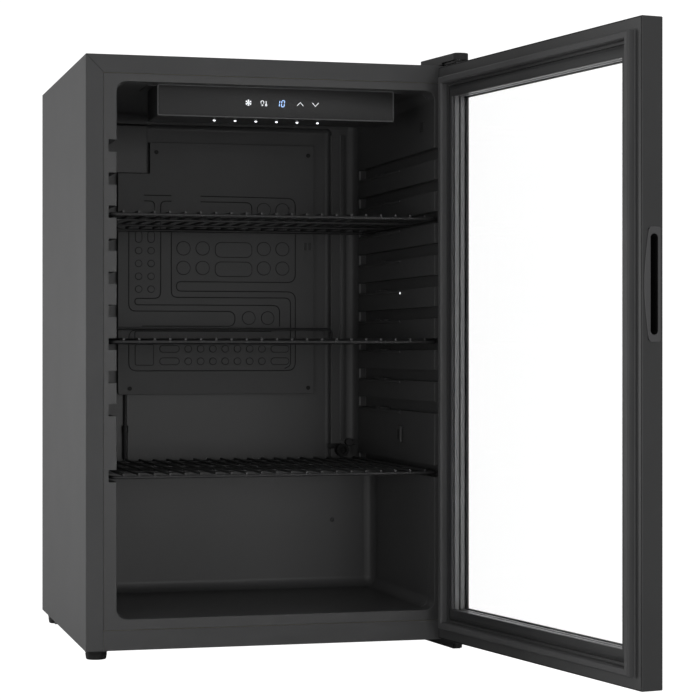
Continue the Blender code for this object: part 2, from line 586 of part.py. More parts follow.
def top_hinge():
    z = TOP_Z + GAP
    plate = outline("top_hinge_plate", hinge_outline(0, 0.0630, 0.2330, 0.2670), z, z + HINGE_T, ZINC)
    cut(plate, rods("top_plate_screws", at_height(HINGE_SCREWS, z), 0.0026, 0.02, sides=12),
        rods("top_plate_pin", [(PIN_X, PIN_Y, z)], PIN_R + GAP, 0.02))
    pin_low, pin_high = DOOR_HIGH - 0.0120, z + HINGE_T + 0.001
    pin = rod("top_hinge_pin", (PIN_X, PIN_Y, (pin_low + pin_high) / 2), PIN_R, pin_high - pin_low, ZINC)
    join(pin, rod("top_pin_head", (PIN_X, PIN_Y, z + HINGE_T + GAP + 0.0010), 0.0055, 0.0020))
    for side, (x, y) in zip(("left", "right"), HINGE_SCREWS):
        head_middle = z + HINGE_T + GAP + 0.0010
        screw = rod(f"top_hinge_screw_{side}", (x, y, head_middle), 0.0046, 0.0020, ZINC, sides=16)
        join(screw, rod(f"top_shank_{side}", (x, y, z - 0.0030), 0.0020, 0.0160, sides=12))
    shape = hinge_outline(0.0022, 0.0660, 0.2300, 0.2670)
    left = shape[-1][0]
    shape[-1:] = [(left + 0.003, shape[-1][1]), (left, shape[-1][1] - 0.003)]
    cover = outline("top_hinge_cover", shape, z, z + COVER_T, BLACK_PLASTIC)
    inner = hinge_outline(0.0010, 0.0642, 0.2300, 0.2670)
    cut(cover, outline("cover_hollow", inner, z - 0.01, z + COVER_T - 0.0015),
        box("cover_gap", (0.2, -0.1, z - 0.01), (0.3, -0.0005, z + HINGE_T + 0.0007)))


def bottom_hinge():
    """The plate under the door and the cabinet, with a stiffening block beneath it."""
    low = HINGE_LOW
    plate = outline("bottom_hinge_plate", hinge_outline(0, 0.0800, 0.2120, 0.2670), low, low + HINGE_T,
                    BLACK_STEEL)
    block = [(0.2375, 0.0780), (0.2492, -0.0270), (0.2600, -0.0270), (0.2600, 0.0780)]
    join(plate, outline("hinge_block", block, 0.0025, low + 0.001))
    cut(plate, rods("low_plate_screws", at_height(BOTTOM_SCREWS, low), 0.0026, 0.02, sides=12),
        rods("low_plate_pin", [(PIN_X, PIN_Y, low)], PIN_R + GAP, 0.02))
    pin_low, pin_high = low - 0.001, DOOR_LOW + 0.0120
    pin = rod("bottom_hinge_pin", (PIN_X, PIN_Y, (pin_low + pin_high) / 2), PIN_R, pin_high - pin_low,
              BLACK_STEEL)
    head_low, head_high = 0.0050, low - GAP
    collar_low, collar_high = low + HINGE_T + GAP, DOOR_LOW - GAP
    head_middle = (PIN_X, PIN_Y, (head_low + head_high) / 2)
    collar_middle = (PIN_X, PIN_Y, (collar_low + collar_high) / 2)
    join(pin, rod("bottom_pin_head", head_middle, 0.0055, head_high - head_low),
         rod("bottom_pin_collar", collar_middle, 0.0052, collar_high - collar_low))
    for side, (x, y) in zip(("front", "rear"), BOTTOM_SCREWS):
        screw_middle = (x, y, low - GAP - 0.0010)
        screw = rod(f"bottom_hinge_screw_{side}", screw_middle, 0.0046, 0.0020, ZINC, sides=16)
        join(screw, rod(f"bottom_shank_{side}", (x, y, low + 0.0050), 0.0020, 0.0140, sides=12))


# ---- door, modelled shut ------------------------------------------------------------------------
HANDLE_Z, HANDLE_TALL = 0.5085, 0.1345
HANDLE_Y = (DOOR_INNER - 0.0250, DOOR_INNER - 0.0090)
SEAT_EDGE, SEAT_LOW = 0.0300, 0.0040  # where the retaining frame is let into the door frame


def door_box(inset, front, back):
    """Corners of a box inset from the door's outer edge, between two y values."""
    return (DOOR_LEFT + inset, front, DOOR_LOW + inset), (DOOR_RIGHT - inset, back, DOOR_HIGH - inset)


def clear_glass(name, margin):
    """A cutter for the clear opening, larger by margin on every side."""
    low = (DOOR_LEFT + LIP - margin, -0.1, DOOR_LOW + LIP - margin)
    return box(name, low, (DOOR_RIGHT - HINGE_LIP + margin, 0.1, DOOR_HIGH - LIP + margin))


def door():
    frame = box("door_frame", *door_box(0, DOOR_OUTER, DOOR_INNER), BLACK_PLASTIC, 0.0012)
    cut(frame, clear_glass("frame_window", 0),
        box("frame_rebate", *door_box(GLASS_EDGE, DOOR_OUTER + 0.003, 0.1)),
        box("frame_seat", *door_box(SEAT_EDGE, DOOR_INNER - SEAT_LOW, 0.1)))
    groove = ring("gasket_groove", *door_box(0.0165, DOOR_INNER - 0.0035, 0.01), 0.0100)
    handle_hole = box("handle_hole", (DOOR_LEFT - 0.1, HANDLE_Y[0] - GAP, HANDLE_Z - HANDLE_TALL / 2 - GAP),
                      (DOOR_LEFT + 0.0225, HANDLE_Y[1] + GAP, HANDLE_Z + HANDLE_TALL / 2 + GAP))
    pins = [(PIN_X, PIN_Y, DOOR_HIGH), (PIN_X, PIN_Y, DOOR_LOW)]
    cut(frame, groove, rods("bush_holes", pins, 0.0062, 0.0290), handle_hole)
    retainer = door_box(SEAT_EDGE + GAP, DOOR_INNER - SEAT_LOW + GAP, DOOR_INNER)
    cut(box("door_retaining_frame", *retainer, BLACK_PLASTIC), clear_glass("retainer_window", 0.0))
    gasket = ring("door_gasket", *door_box(0.0168, DOOR_INNER - 0.0032, DOOR_INNER + 0.0040), 0.0094, RUBBER)
    join(gasket, ring("gasket_bulb", *door_box(0.0158, DOOR_INNER + GAP, -0.0008), 0.0110))
    y = DOOR_OUTER + 0.003 + GAP
    for name in ("outer", "middle", "inner"):
        box(f"{name}_glass_pane", *door_box(GLASS_EDGE + GAP, y, y + PANE), GLASS)
        y += PANE + GAP
        if name != "inner":
            extent = door_box(GLASS_EDGE + 0.0008, y, y + SPACERS[name])
            spacer = box(f"{name}_glass_spacer", *extent, ALUMINIUM)
            cut(spacer, clear_glass(f"{name}_spacer_window", 0.0006))
            y += SPACERS[name] + GAP
    for name, low in (("top", DOOR_HIGH - 0.0140), ("bottom", DOOR_LOW)):
        bush = rod(f"{name}_door_bush", (PIN_X, PIN_Y, low + 0.0070), 0.0059, 0.0136, BLACK_PLASTIC)
        cut(bush, rod(f"{name}_bush_bore", (PIN_X, PIN_Y, low), PIN_R + GAP, 0.08))
    handle()


def handle():
    """A finger pull let into the door's free edge: a bowed face plate with a deep slot."""
    tall, outer, bow = HANDLE_TALL + 0.0050, DOOR_INNER - 0.0262, 0.0062
    inner = DOOR_INNER - 0.0092
    top, low = HANDLE_Z + tall / 2, HANDLE_Z - tall / 2
    half_bow = tall / 2 - 0.004
    bowed = [(inner + bow * math.cos(math.pi * t / 10), HANDLE_Z + half_bow * t / 5)
             for t in range(5, -6, -1)]
    points = [(outer + 0.002, top), (inner - 0.003, top)] + bowed
    points += [(inner - 0.003, low), (outer + 0.002, low), (outer, low + 0.002), (outer, top - 0.002)]
    face = outline("door_handle", points, 0.0, 0.0012, HANDLE_GREY)
    face.data.transform(Matrix(((0, 0, -1, DOOR_LEFT), (1, 0, 0, 0), (0, 1, 0, 0), (0, 0, 0, 1))))
    pocket = box("handle_pocket", (DOOR_LEFT - 0.0006, HANDLE_Y[0], HANDLE_Z - HANDLE_TALL / 2),
                 (DOOR_LEFT + 0.0220, HANDLE_Y[1], HANDLE_Z + HANDLE_TALL / 2))
    join(face, pocket)
    slot = box("handle_slot", (DOOR_LEFT - 0.02, DOOR_INNER - 0.0225, HANDLE_Z - 0.0612),
               (DOOR_LEFT + 0.0200, DOOR_INNER - 0.0117, HANDLE_Z + 0.0612))
    return cut(face, slot)


# ---- assembly -----------------------------------------------------------------------------------
def build_cabinet():
    outer_wrap()
    inner_liner()
    insulation_foam()
    base_sheets()
    compressor_base()
    machine_room()
    condenser_coil()
    evaporator()
    sensor_and_grommet()
    sensor_cover()
    control_box()
    shelves()
    feet()
    top_hinge()
    bottom_hinge()


def lowest_and_highest(objects):
    bpy.context.view_layer.update()
    graph = bpy.context.evaluated_depsgraph_get()
    corners = [o.matrix_world @ Vector(c) for o in objects for c in o.evaluated_get(graph).bound_box]
    return [Vector(pick(c[i] for c in corners) for i in range(3)) for pick in (min, max)]


def assemble():
    """Hangs the door on its pins at the open angle, then puts the origin under the middle of everything."""
    whole = bpy.data.objects.new("cooler_origin", None)
    hinge = bpy.data.objects.new("door_hinge", None)
    for empty in (whole, hinge):
        bpy.context.scene.collection.objects.link(empty)
    build_cabinet()
    fixed = set(bpy.data.objects)
    door()
    for obj in set(bpy.data.objects) - fixed:
        obj.location -= Vector((PIN_X, PIN_Y, 0))
        obj.parent = hinge
    hinge.location = (PIN_X, PIN_Y, 0)
    hinge.rotation_euler = (0, 0, DOOR_OPEN)
    for obj in bpy.data.objects:
        if obj.parent is None and obj is not whole:
            obj.parent = whole
    low, high = lowest_and_highest(PARTS.objects)
    whole.location = (-(low.x + high.x) / 2, -(low.y + high.y) / 2, -low.z)
    bpy.context.view_layer.update()


assemble()
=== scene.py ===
"""Looks for the wine cooler: detailed pieces and materials around the fixed CAD frame."""

import json
import math

import bmesh
import bpy
from mathutils import Matrix, Vector


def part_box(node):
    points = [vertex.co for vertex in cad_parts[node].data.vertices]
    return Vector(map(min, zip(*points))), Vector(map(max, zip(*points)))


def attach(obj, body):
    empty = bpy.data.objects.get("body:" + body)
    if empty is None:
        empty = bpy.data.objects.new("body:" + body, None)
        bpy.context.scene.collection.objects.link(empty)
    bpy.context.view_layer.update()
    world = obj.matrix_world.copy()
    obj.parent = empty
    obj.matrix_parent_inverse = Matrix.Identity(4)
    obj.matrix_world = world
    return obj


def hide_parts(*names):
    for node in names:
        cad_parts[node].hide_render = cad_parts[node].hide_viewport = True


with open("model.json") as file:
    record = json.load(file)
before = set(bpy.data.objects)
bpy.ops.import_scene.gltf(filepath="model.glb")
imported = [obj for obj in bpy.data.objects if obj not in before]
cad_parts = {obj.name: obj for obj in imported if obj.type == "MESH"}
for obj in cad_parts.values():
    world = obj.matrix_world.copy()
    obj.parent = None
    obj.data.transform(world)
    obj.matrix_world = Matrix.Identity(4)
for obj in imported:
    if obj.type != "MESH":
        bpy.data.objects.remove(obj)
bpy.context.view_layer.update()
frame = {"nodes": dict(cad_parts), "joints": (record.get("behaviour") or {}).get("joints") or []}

GAP = 0.0003


def corners(node):
    low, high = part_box(node)
    return Vector(low), Vector(high)


WRAP_LOW, WRAP_HIGH = corners("outer_wrap")
# the middle of the cabinet's front, on the floor; shapes are drawn from here
CABINET = Vector(((WRAP_LOW.x + WRAP_HIGH.x) / 2, WRAP_LOW.y, 0.0))
HALF = (WRAP_HIGH.x - WRAP_LOW.x) / 2
TOP_Z = WRAP_HIGH.z
HINGE = next(j for j in frame["joints"] if j["name"] == "door_hinge")
PIN = Vector((HINGE["pos_m"][0], HINGE["pos_m"][1], 0.0)) - CABINET
OPEN_ANGLE = -math.radians(HINGE["range_deg"][0])
# carries a piece drawn on the shut door to the open one
DOOR_PLACE = (Matrix.Translation(CABINET + PIN) @ Matrix.Rotation(OPEN_ANGLE, 4, "Z")
              @ Matrix.Translation(-PIN))

FLANGE, STRIP_TOP = 0.0246, 0.0407
LINER_T, DRAFT = 0.002, 0.0004
CAVITY_HALF, CAVITY_LOW, CAVITY_HIGH, CAVITY_BACK = 0.2291, 0.0562, 0.8008, 0.440
HUMP_BACK, HUMP_TOP, CAVITY_RADIUS = 0.333, 0.240, 0.016
RECESS_HALF, RECESS_LOW, RECESS_HIGH, RECESS_BACK = 0.1875, 0.246, 0.788, 0.454
GROOVE_TOP_Z, GROOVE_PITCH, GROOVES = 0.7115, 0.0457, (0, 1, 2, 3, 4, 5, 6, 7, 8, 10)
GROOVE_HEIGHT, GROOVE_DEEP, GROOVE_LENGTH = 0.0172, 0.0117, 0.424
PLATE_FRONT = 0.4404
# the wiring strip at the right of the back wall: how high it goes, and where it sits in the wall
STRIP_LOW, STRIP_HIGH, STRIP_SEAT = 0.2830, 0.7780, CAVITY_BACK + 0.0002
DOOR_LEFT, DOOR_RIGHT, DOOR_LOW, DOOR_HIGH = -0.2720, 0.2720, 0.0170, 0.8325
DOOR_INNER = -0.0110
# the spacers carry painted light: a darker copy of their material, painted shade, on all sides but the
# hinge side, and a lighter copy, painted lit, on the hinge side
PAINTED_SHADE_LEFT_OF = DOOR_RIGHT - 0.050
# past this inset from the door's edge, the glass reaches this much further on the hinge side
TRIM_INSET, HINGE_TRIM = 0.0385, 0.0055


# ---- materials ----------------------------------------------------------------------------------
def surface(name, colour, roughness, metallic=0.0, grain=1400.0, depth=0.00003, mottle=0.10, broad=9.0,
            coat=0.0, emission=0.0, streak=None):
    """A procedural surface: fine grain in the bump, broad mottling in colour and roughness."""
    made = bpy.data.materials.new(name)
    made.use_nodes = True
    tree = made.node_tree
    shader = tree.nodes["Principled BSDF"]
    coordinates = tree.nodes.new("ShaderNodeTexCoord")
    source = coordinates.outputs["Object"]
    if streak:
        mapping = tree.nodes.new("ShaderNodeMapping")
        mapping.inputs["Scale"].default_value = streak
        tree.links.new(source, mapping.inputs["Vector"])
        source = mapping.outputs["Vector"]

    def noise(scale, detail):
        node = tree.nodes.new("ShaderNodeTexNoise")
        node.inputs["Scale"].default_value = scale
        node.inputs["Detail"].default_value = detail
        tree.links.new(source, node.inputs["Vector"])
        return node.outputs["Fac"]

    def spread(value, low, high):
        node = tree.nodes.new("ShaderNodeMapRange")
        node.inputs["From Min"].default_value = 0.3
        node.inputs["From Max"].default_value = 0.7
        node.inputs["To Min"].default_value = low
        node.inputs["To Max"].default_value = high
        tree.links.new(value, node.inputs["Value"])
        return node.outputs["Result"]

    cloud, fine = noise(broad, 3.0), noise(grain, 2.0)
    tint = tree.nodes.new("ShaderNodeMix")
    tint.data_type = "RGBA"
    tint.inputs["A"].default_value = (*[c * (1 - mottle) for c in colour], 1.0)
    tint.inputs["B"].default_value = (*[min(1.0, c * (1 + mottle)) for c in colour], 1.0)
    tree.links.new(spread(cloud, 0.0, 1.0), tint.inputs["Factor"])
    tree.links.new(tint.outputs["Result"], shader.inputs["Base Color"])
    tree.links.new(spread(fine, max(0.02, roughness * 0.86), min(1.0, roughness * 1.14)),
                   shader.inputs["Roughness"])
    bump = tree.nodes.new("ShaderNodeBump")
    bump.inputs["Distance"].default_value = depth
    bump.inputs["Strength"].default_value = 1.0
    tree.links.new(fine, bump.inputs["Height"])
    tree.links.new(bump.outputs["Normal"], shader.inputs["Normal"])
    shader.inputs["Metallic"].default_value = metallic
    shader.inputs["Coat Weight"].default_value = coat
    if emission:
        shader.inputs["Emission Color"].default_value = (*colour, 1.0)
        shader.inputs["Emission Strength"].default_value = emission
    return made


GLASS_IOR = 1.12  # lower than real glass, for weaker reflections


def clear_glass():
    made = surface("clear_glass_look", (1.0, 1.0, 1.0), 0.02, depth=0.0, mottle=0.002, broad=3.0)
    shader = made.node_tree.nodes["Principled BSDF"]
    for link in list(shader.inputs["Normal"].links) + list(shader.inputs["Roughness"].links):
        made.node_tree.links.remove(link)
    shader.inputs["Roughness"].default_value = 0.0
    shader.inputs["Transmission Weight"].default_value = 1.0
    shader.inputs["IOR"].default_value = GLASS_IOR
    return made


PAINT = surface("charcoal_powder_coat", (0.098, 0.0985, 0.100), 0.60, grain=2600.0, depth=0.00004,
                mottle=0.05)
LINER = surface("liner_moulding", (0.087, 0.087, 0.088), 0.42, grain=1800.0, depth=0.00003, mottle=0.05,
                broad=5.0)
PLATE = surface("evaporator_coating", (0.092, 0.092, 0.093), 0.5, grain=2200.0, depth=0.00003,
                mottle=0.05)
# a dark line colour: painted shade along the plate's channel and pad edges, and the dark mitre joints
# of the wrap
SEAM_AND_SHADE_LINE = surface("seam_and_painted_shade_line", (0.018, 0.018, 0.018), 0.6, mottle=0.05)
DARK_PLASTIC = surface("dark_moulding", (0.030, 0.030, 0.031), 0.40, grain=1600.0, mottle=0.08)
FRAME_PLASTIC = surface("door_moulding", (0.071, 0.0715, 0.0725), 0.42, grain=1900.0, depth=0.00003,
                        mottle=0.06)
RETAINER = surface("retainer_moulding", (0.054, 0.0545, 0.0555), 0.44, grain=1900.0, mottle=0.06)
HOUSING = surface("control_moulding", (0.045, 0.045, 0.046), 0.38, grain=1900.0, mottle=0.06)
FASCIA = surface("fascia_gloss", (0.020, 0.020, 0.0205), 0.46, grain=500.0, depth=0.000005, mottle=0.08)
TRIM = surface("fascia_trim", (0.20, 0.20, 0.203), 0.3, mottle=0.06)
GASKET = surface("gasket_rubber", (0.105, 0.105, 0.107), 0.55, grain=900.0, depth=0.00004, mottle=0.08)
RUBBER = surface("black_rubber", (0.018, 0.018, 0.018), 0.7, grain=900.0, depth=0.00006, mottle=0.12)
WIRE = surface("shelf_coating", (0.034, 0.034, 0.035), 0.40, grain=1500.0, depth=0.00003, mottle=0.10)
HANDLE = surface("handle_moulding", (0.130, 0.130, 0.133), 0.33, grain=1500.0, mottle=0.05)
SLOT_BLACK = surface("handle_slot_lining", (0.008, 0.008, 0.008), 0.6, mottle=0.1)
# painted light for the spacers: this lighter copy is painted lit for the hinge side, and the darker
# copy below is painted shade for the other sides
SPACER_LIT_COPY = surface("spacer_metal_painted_lit", (0.18, 0.18, 0.183), 0.40, metallic=0.3, grain=1200.0, mottle=0.06,
                 streak=(1, 1, 0.05))
SPACER_SHADED_COPY = surface("spacer_painted_shade", (0.014, 0.014, 0.0145), 0.5, mottle=0.08)
# a light colour for thin strips on moulding edges: painted highlights
EDGE_PAINTED_HIGHLIGHT = surface("painted_edge_highlight", (0.26, 0.26, 0.262), 0.35, mottle=0.05)
ZINC = surface("galvanised_sheet", (0.42, 0.43, 0.44), 0.42, metallic=0.9, grain=260.0, depth=0.00002,
               mottle=0.18, broad=60.0)
STEEL = surface("plain_steel", (0.50, 0.50, 0.51), 0.32, metallic=1.0, grain=900.0, mottle=0.08)
COPPER = surface("copper_pipe", (0.62, 0.30, 0.18), 0.32, metallic=1.0, grain=300.0, mottle=0.16,
                 broad=40.0)
COMPRESSOR = surface("compressor_paint", (0.014, 0.014, 0.015), 0.34, grain=900.0, depth=0.00005,
                     mottle=0.15, coat=0.3)
BLACK_STEEL = surface("black_steel_coat", (0.016, 0.016, 0.0165), 0.45, grain=1100.0, mottle=0.12)
FOAM = surface("foam_cells", (0.66, 0.58, 0.38), 0.95, grain=700.0, depth=0.0004, mottle=0.14,
               broad=30.0)
BOARD = surface("board_lacquer", (0.02, 0.10, 0.05), 0.4, grain=700.0, mottle=0.2, broad=120.0)
LIGHT_WHITE = surface("lamp_lens", (0.95, 0.97, 1.0), 0.3, mottle=0.01, emission=2.2)
# a glowing white for the signs on the fascia, also used as a painted glint on a screw
SIGN_AND_GLINT_WHITE = surface("sign_and_painted_glint_white", (0.86, 0.88, 0.90), 0.4, mottle=0.01, emission=1.5)
SIGN_BLUE = surface("sign_blue", (0.42, 0.62, 1.0), 0.4, mottle=0.01, emission=1.3)
GLASS = clear_glass()


# ---- shapes -------------------------------------------------------------------------------------
def link(obj):
    bpy.context.scene.collection.objects.link(obj)
    return obj


def object_from(name, bm, smooth=35.0):
    mesh = bpy.data.meshes.new(name)
    bmesh.ops.recalc_face_normals(bm, faces=bm.faces[:])
    bm.to_mesh(mesh)
    bm.free()
    if smooth:
        mesh.shade_smooth()
        mesh.set_sharp_from_angle(angle=math.radians(smooth))
    return link(bpy.data.objects.new(name, mesh))


def finish(obj, look, body, replaced=()):
    """Gives a piece its material, its place on a body and the CAD nodes it stands for."""
    obj.data.materials.clear()
    obj.data.materials.append(look)
    obj.matrix_world = DOOR_PLACE if body == "door" else Matrix.Translation(CABINET)
    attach(obj, body)
    if replaced:
        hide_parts(*replaced)
    return obj


def baked(obj, smooth=35.0, weighted=True):
    """The object with its modifiers applied, and clean shading on large flat faces."""
    bpy.context.view_layer.update()
    mesh = bpy.data.meshes.new_from_object(obj.evaluated_get(bpy.context.evaluated_depsgraph_get()))
    obj.modifiers.clear()
    obj.data = mesh
    mesh.shade_smooth()
    mesh.set_sharp_from_angle(angle=math.radians(smooth))
    if weighted:
        step = obj.modifiers.new("even_shading", "WEIGHTED_NORMAL")
        step.keep_sharp = True
    return obj


def add_box(bm, low, high, radius=0.0, segments=3):
    low, high = Vector(low), Vector(high)
    placed = Matrix.Translation((low + high) / 2) @ Matrix.Diagonal((*(high - low), 1.0))
    made = bmesh.ops.create_cube(bm, size=1.0, matrix=placed)["verts"]
    if radius:
        edges = list({e for v in made for e in v.link_edges})
        bmesh.ops.bevel(bm, geom=edges, offset=radius, segments=segments, profile=0.5, affect="EDGES",
                        clamp_overlap=True)


def box(name, low, high, radius=0.0, segments=3):
    bm = bmesh.new()
    add_box(bm, low, high, radius, segments)
    return object_from(name, bm)


# the axis of a turned piece, from Z
TURN = {
    "x": Matrix.Rotation(math.pi / 2, 4, "Y"),
    "y": Matrix.Rotation(math.pi / 2, 4, "X"),
    "z": Matrix.Identity(4),
}
# the axis along which a flat outline is extruded
SWAP = {
    "x": Matrix(((0, 0, 1, 0), (1, 0, 0, 0), (0, 1, 0, 0), (0, 0, 0, 1))),
    "y": Matrix(((1, 0, 0, 0), (0, 0, 1, 0), (0, 1, 0, 0), (0, 0, 0, 1))),
    "z": Matrix.Identity(4),
}


def turned(name, profile, axis="z", centre=(0, 0, 0), steps=48):
    """A solid of revolution from (radius, height) points, closed at both ends on its axis."""
    bm = bmesh.new()
    rings = []
    for radius, height in profile:
        if radius < 1e-7:
            rings.append([bm.verts.new((0, 0, height))])
            continue
        angles = [2 * math.pi * i / steps for i in range(steps)]
        rings.append([bm.verts.new((radius * math.cos(a), radius * math.sin(a),
                                    height)) for a in angles])
    for a, b in zip(rings, rings[1:]):
        for i in range(steps):
            j = (i + 1) % steps
            if len(a) == 1:
                bm.faces.new((a[0], b[i], b[j]))
            elif len(b) == 1:
                bm.faces.new((a[i], b[0], a[j]))
            else:
                bm.faces.new((a[i], b[i], b[j], a[j]))
    bmesh.ops.transform(bm, matrix=Matrix.Translation(centre) @ TURN[axis], verts=bm.verts[:])
    return object_from(name, bm)


def rounded(points, radii, steps=6):
    """A 2D outline with its corners rounded. radii is one radius or one for each corner."""
    count = len(points)
    if not isinstance(radii, (list, tuple)):
        radii = [radii] * count
    made = []
    for i, radius in enumerate(radii):
        here = Vector(points[i])
        before, after = Vector(points[i - 1]) - here, Vector(points[(i + 1) % count]) - here
        if radius <= 0:
            made.append(tuple(here))
            continue
        half = before.angle(after) / 2
        reach = min(radius / math.tan(half), before.length * 0.49, after.length * 0.49)
        start, end = here + before.normalized() * reach, here + after.normalized() * reach
        for step in range(steps + 1):
            t = step / steps
            made.append(tuple(start * (1 - t) ** 2 + here * 2 * t * (1 - t) + end * t * t))
    return made


def bent(points, radius, steps=6):
    """An open 2D path with its inner corners rounded."""
    return rounded(points, [0] + [radius] * (len(points) - 2) + [0], steps)


def ring_sweep(name, profile, smooth=35.0):
    """A frame with mitred corners round the door. The profile is a closed outline of (inset, y)."""
    bm = bmesh.new()
    loops = []
    for inset, y in profile:
        x0, x1 = DOOR_LEFT + inset, DOOR_RIGHT - inset + (HINGE_TRIM if inset > TRIM_INSET else 0.0)
        z0, z1 = DOOR_LOW + inset, DOOR_HIGH - inset
        loops.append([bm.verts.new((x, y, z)) for x, z in ((x0, z0), (x1, z0), (x1, z1), (x0, z1))])
    for a, b in zip(loops, loops[1:] + loops[:1]):
        for i in range(4):
            j = (i + 1) % 4
            bm.faces.new((a[i], a[j], b[j], b[i]))
    return object_from(name, bm, smooth)


def prism(name, outline, low, high, axis="z", bevel=0.0, segments=3):
    """A closed flat outline, extruded along an axis, with its rims bevelled."""
    bm = bmesh.new()
    face = bm.faces.new([bm.verts.new((u, v, low)) for u, v in outline])
    grown = bmesh.ops.extrude_face_region(bm, geom=[face])
    lifted = [v for v in grown["geom"] if isinstance(v, bmesh.types.BMVert)]
    bmesh.ops.translate(bm, vec=(0, 0, high - low), verts=lifted)
    bmesh.ops.recalc_face_normals(bm, faces=bm.faces[:])
    if bevel:
        rims = [e for e in bm.edges if abs(e.verts[0].co.z - e.verts[1].co.z) < 1e-7]
        bmesh.ops.bevel(bm, geom=rims, offset=bevel, segments=segments, profile=0.5, affect="EDGES",
                        clamp_overlap=True)
    bmesh.ops.transform(bm, matrix=SWAP[axis], verts=bm.verts[:])
    return object_from(name, bm)


def pipes(name, routes, sides=3):
    """Round wires as one mesh. Each route is (points, radius, closed)."""
    curve = bpy.data.curves.new(name, "CURVE")
    curve.dimensions = "3D"
    curve.bevel_depth = 1.0
    curve.bevel_resolution = sides
    curve.use_fill_caps = True
    for points, radius, closed in routes:
        spline = curve.splines.new("POLY")
        spline.points.add(len(points) - 1)
        for point, at in zip(spline.points, points):
            point.co = (*at, 1.0)
            point.radius = radius
        spline.use_cyclic_u = closed
    drawn = link(bpy.data.objects.new(f"{name}_curve", curve))
    bpy.context.view_layer.update()
    mesh = bpy.data.meshes.new_from_object(drawn.evaluated_get(bpy.context.evaluated_depsgraph_get()))
    bpy.data.objects.remove(drawn)
    bm = bmesh.new()
    bm.from_mesh(mesh)
    bmesh.ops.remove_doubles(bm, verts=bm.verts[:], dist=0.000005)
    return object_from(name, bm, 50.0)


def combine(obj, operation, *others):
    for other in others:
        step = obj.modifiers.new(operation.lower(), "BOOLEAN")
        step.operation = operation
        step.object = other
        step.solver = "EXACT"
    baked(obj, weighted=False)
    for other in others:
        bpy.data.objects.remove(other)
    return obj


def cut(obj, *others):
    return combine(obj, "DIFFERENCE", *others)


def join(obj, *others):
    return combine(obj, "UNION", *others)


def merged(name, objects):
    """Separate pieces of one material put together as one object."""
    bm = bmesh.new()
    for obj in objects:
        bm.from_mesh(obj.data)
        bpy.data.objects.remove(obj)
    return object_from(name, bm)


# ---- liner --------------------------------------------------------------------------------------
def groove_z(index):
    return GROOVE_TOP_Z - GROOVE_PITCH * index


def liner_solid(name, grow):
    """The space inside the liner, or its outside when grown by the liner's thickness."""
    radius, half = CAVITY_RADIUS + grow, CAVITY_HALF + grow
    upper = box(name, (-half, -0.05, HUMP_TOP - grow), (half, CAVITY_BACK + grow, CAVITY_HIGH + grow),
                radius, 8)
    lower = box(f"{name}_lower", (-half + DRAFT, -0.06, CAVITY_LOW - grow),
                (half - DRAFT, HUMP_BACK + grow, 0.300), radius, 8)
    recess = box(f"{name}_recess", (-RECESS_HALF - grow, 0.38, RECESS_LOW - grow),
                 (RECESS_HALF + grow, RECESS_BACK + grow, RECESS_HIGH + grow), 0.008 + grow, 4)
    tall, deep = GROOVE_HEIGHT / 2 + grow, CAVITY_HALF + GROOVE_DEEP + grow
    bm = bmesh.new()
    for index in GROOVES:
        z = groove_z(index)
        for side in (-1, 1):
            x = sorted((side * deep, side * (CAVITY_HALF - 0.01)))
            add_box(bm, (x[0], -0.04, z - tall), (x[1], GROOVE_LENGTH + grow, z + tall), 0.0012, 2)
    return join(upper, lower, recess, object_from(f"{name}_grooves", bm))


def mouth_chamfer():
    """Rounds the rim of the opening: a rounded rectangle that narrows as it goes in."""
    bm = bmesh.new()
    loops = []
    for y, grow in ((-0.02, 0.0016), (0.0, 0.0012), (0.0004, 0.0006), (0.0012, 0.0001),
                    (0.03, -0.0002)):
        half, low, high = CAVITY_HALF + grow, CAVITY_LOW - grow, CAVITY_HIGH + grow
        outline = rounded([(-half, low), (half, low), (half, high), (-half, high)],
                          CAVITY_RADIUS + grow, 10)
        loops.append([bm.verts.new((x, y, z)) for x, z in outline])
    for a, b in zip(loops, loops[1:]):
        for i in range(len(a)):
            j = (i + 1) % len(a)
            bm.faces.new((a[i], a[j], b[j], b[i]))
    bm.faces.new(loops[0])
    bm.faces.new(loops[-1])
    return object_from("mouth_chamfer", bm)


def liner():
    shell = box("liner", (-HALF + FLANGE + GAP, 0, STRIP_TOP + GAP),
                (HALF - FLANGE - GAP, LINER_T, TOP_Z - FLANGE - 0.0008 - GAP), 0.0006, 2)
    skin = liner_solid("liner_skin", LINER_T)
    cut(skin, box("liner_front", (-0.4, -0.2, -0.1), (0.4, 0.0008, 1.0)))
    join(shell, skin)
    cut(shell, liner_solid("liner_space", 0.0), mouth_chamfer())
    baked(shell)
    finish(shell, LINER, "cabinet", ["inner_liner"])
    seams = []
    for side in (-1, 1):
        outer = (side * (HALF - 0.0006), 0.0001, TOP_Z - 0.0006)
        inner = (side * (HALF - FLANGE), 0.0001, TOP_Z - FLANGE)
        seams.append(([outer, inner], 0.00035, False))
    finish(pipes("wrap_mitre_seams", seams, 1), SEAM_AND_SHADE_LINE, "cabinet")


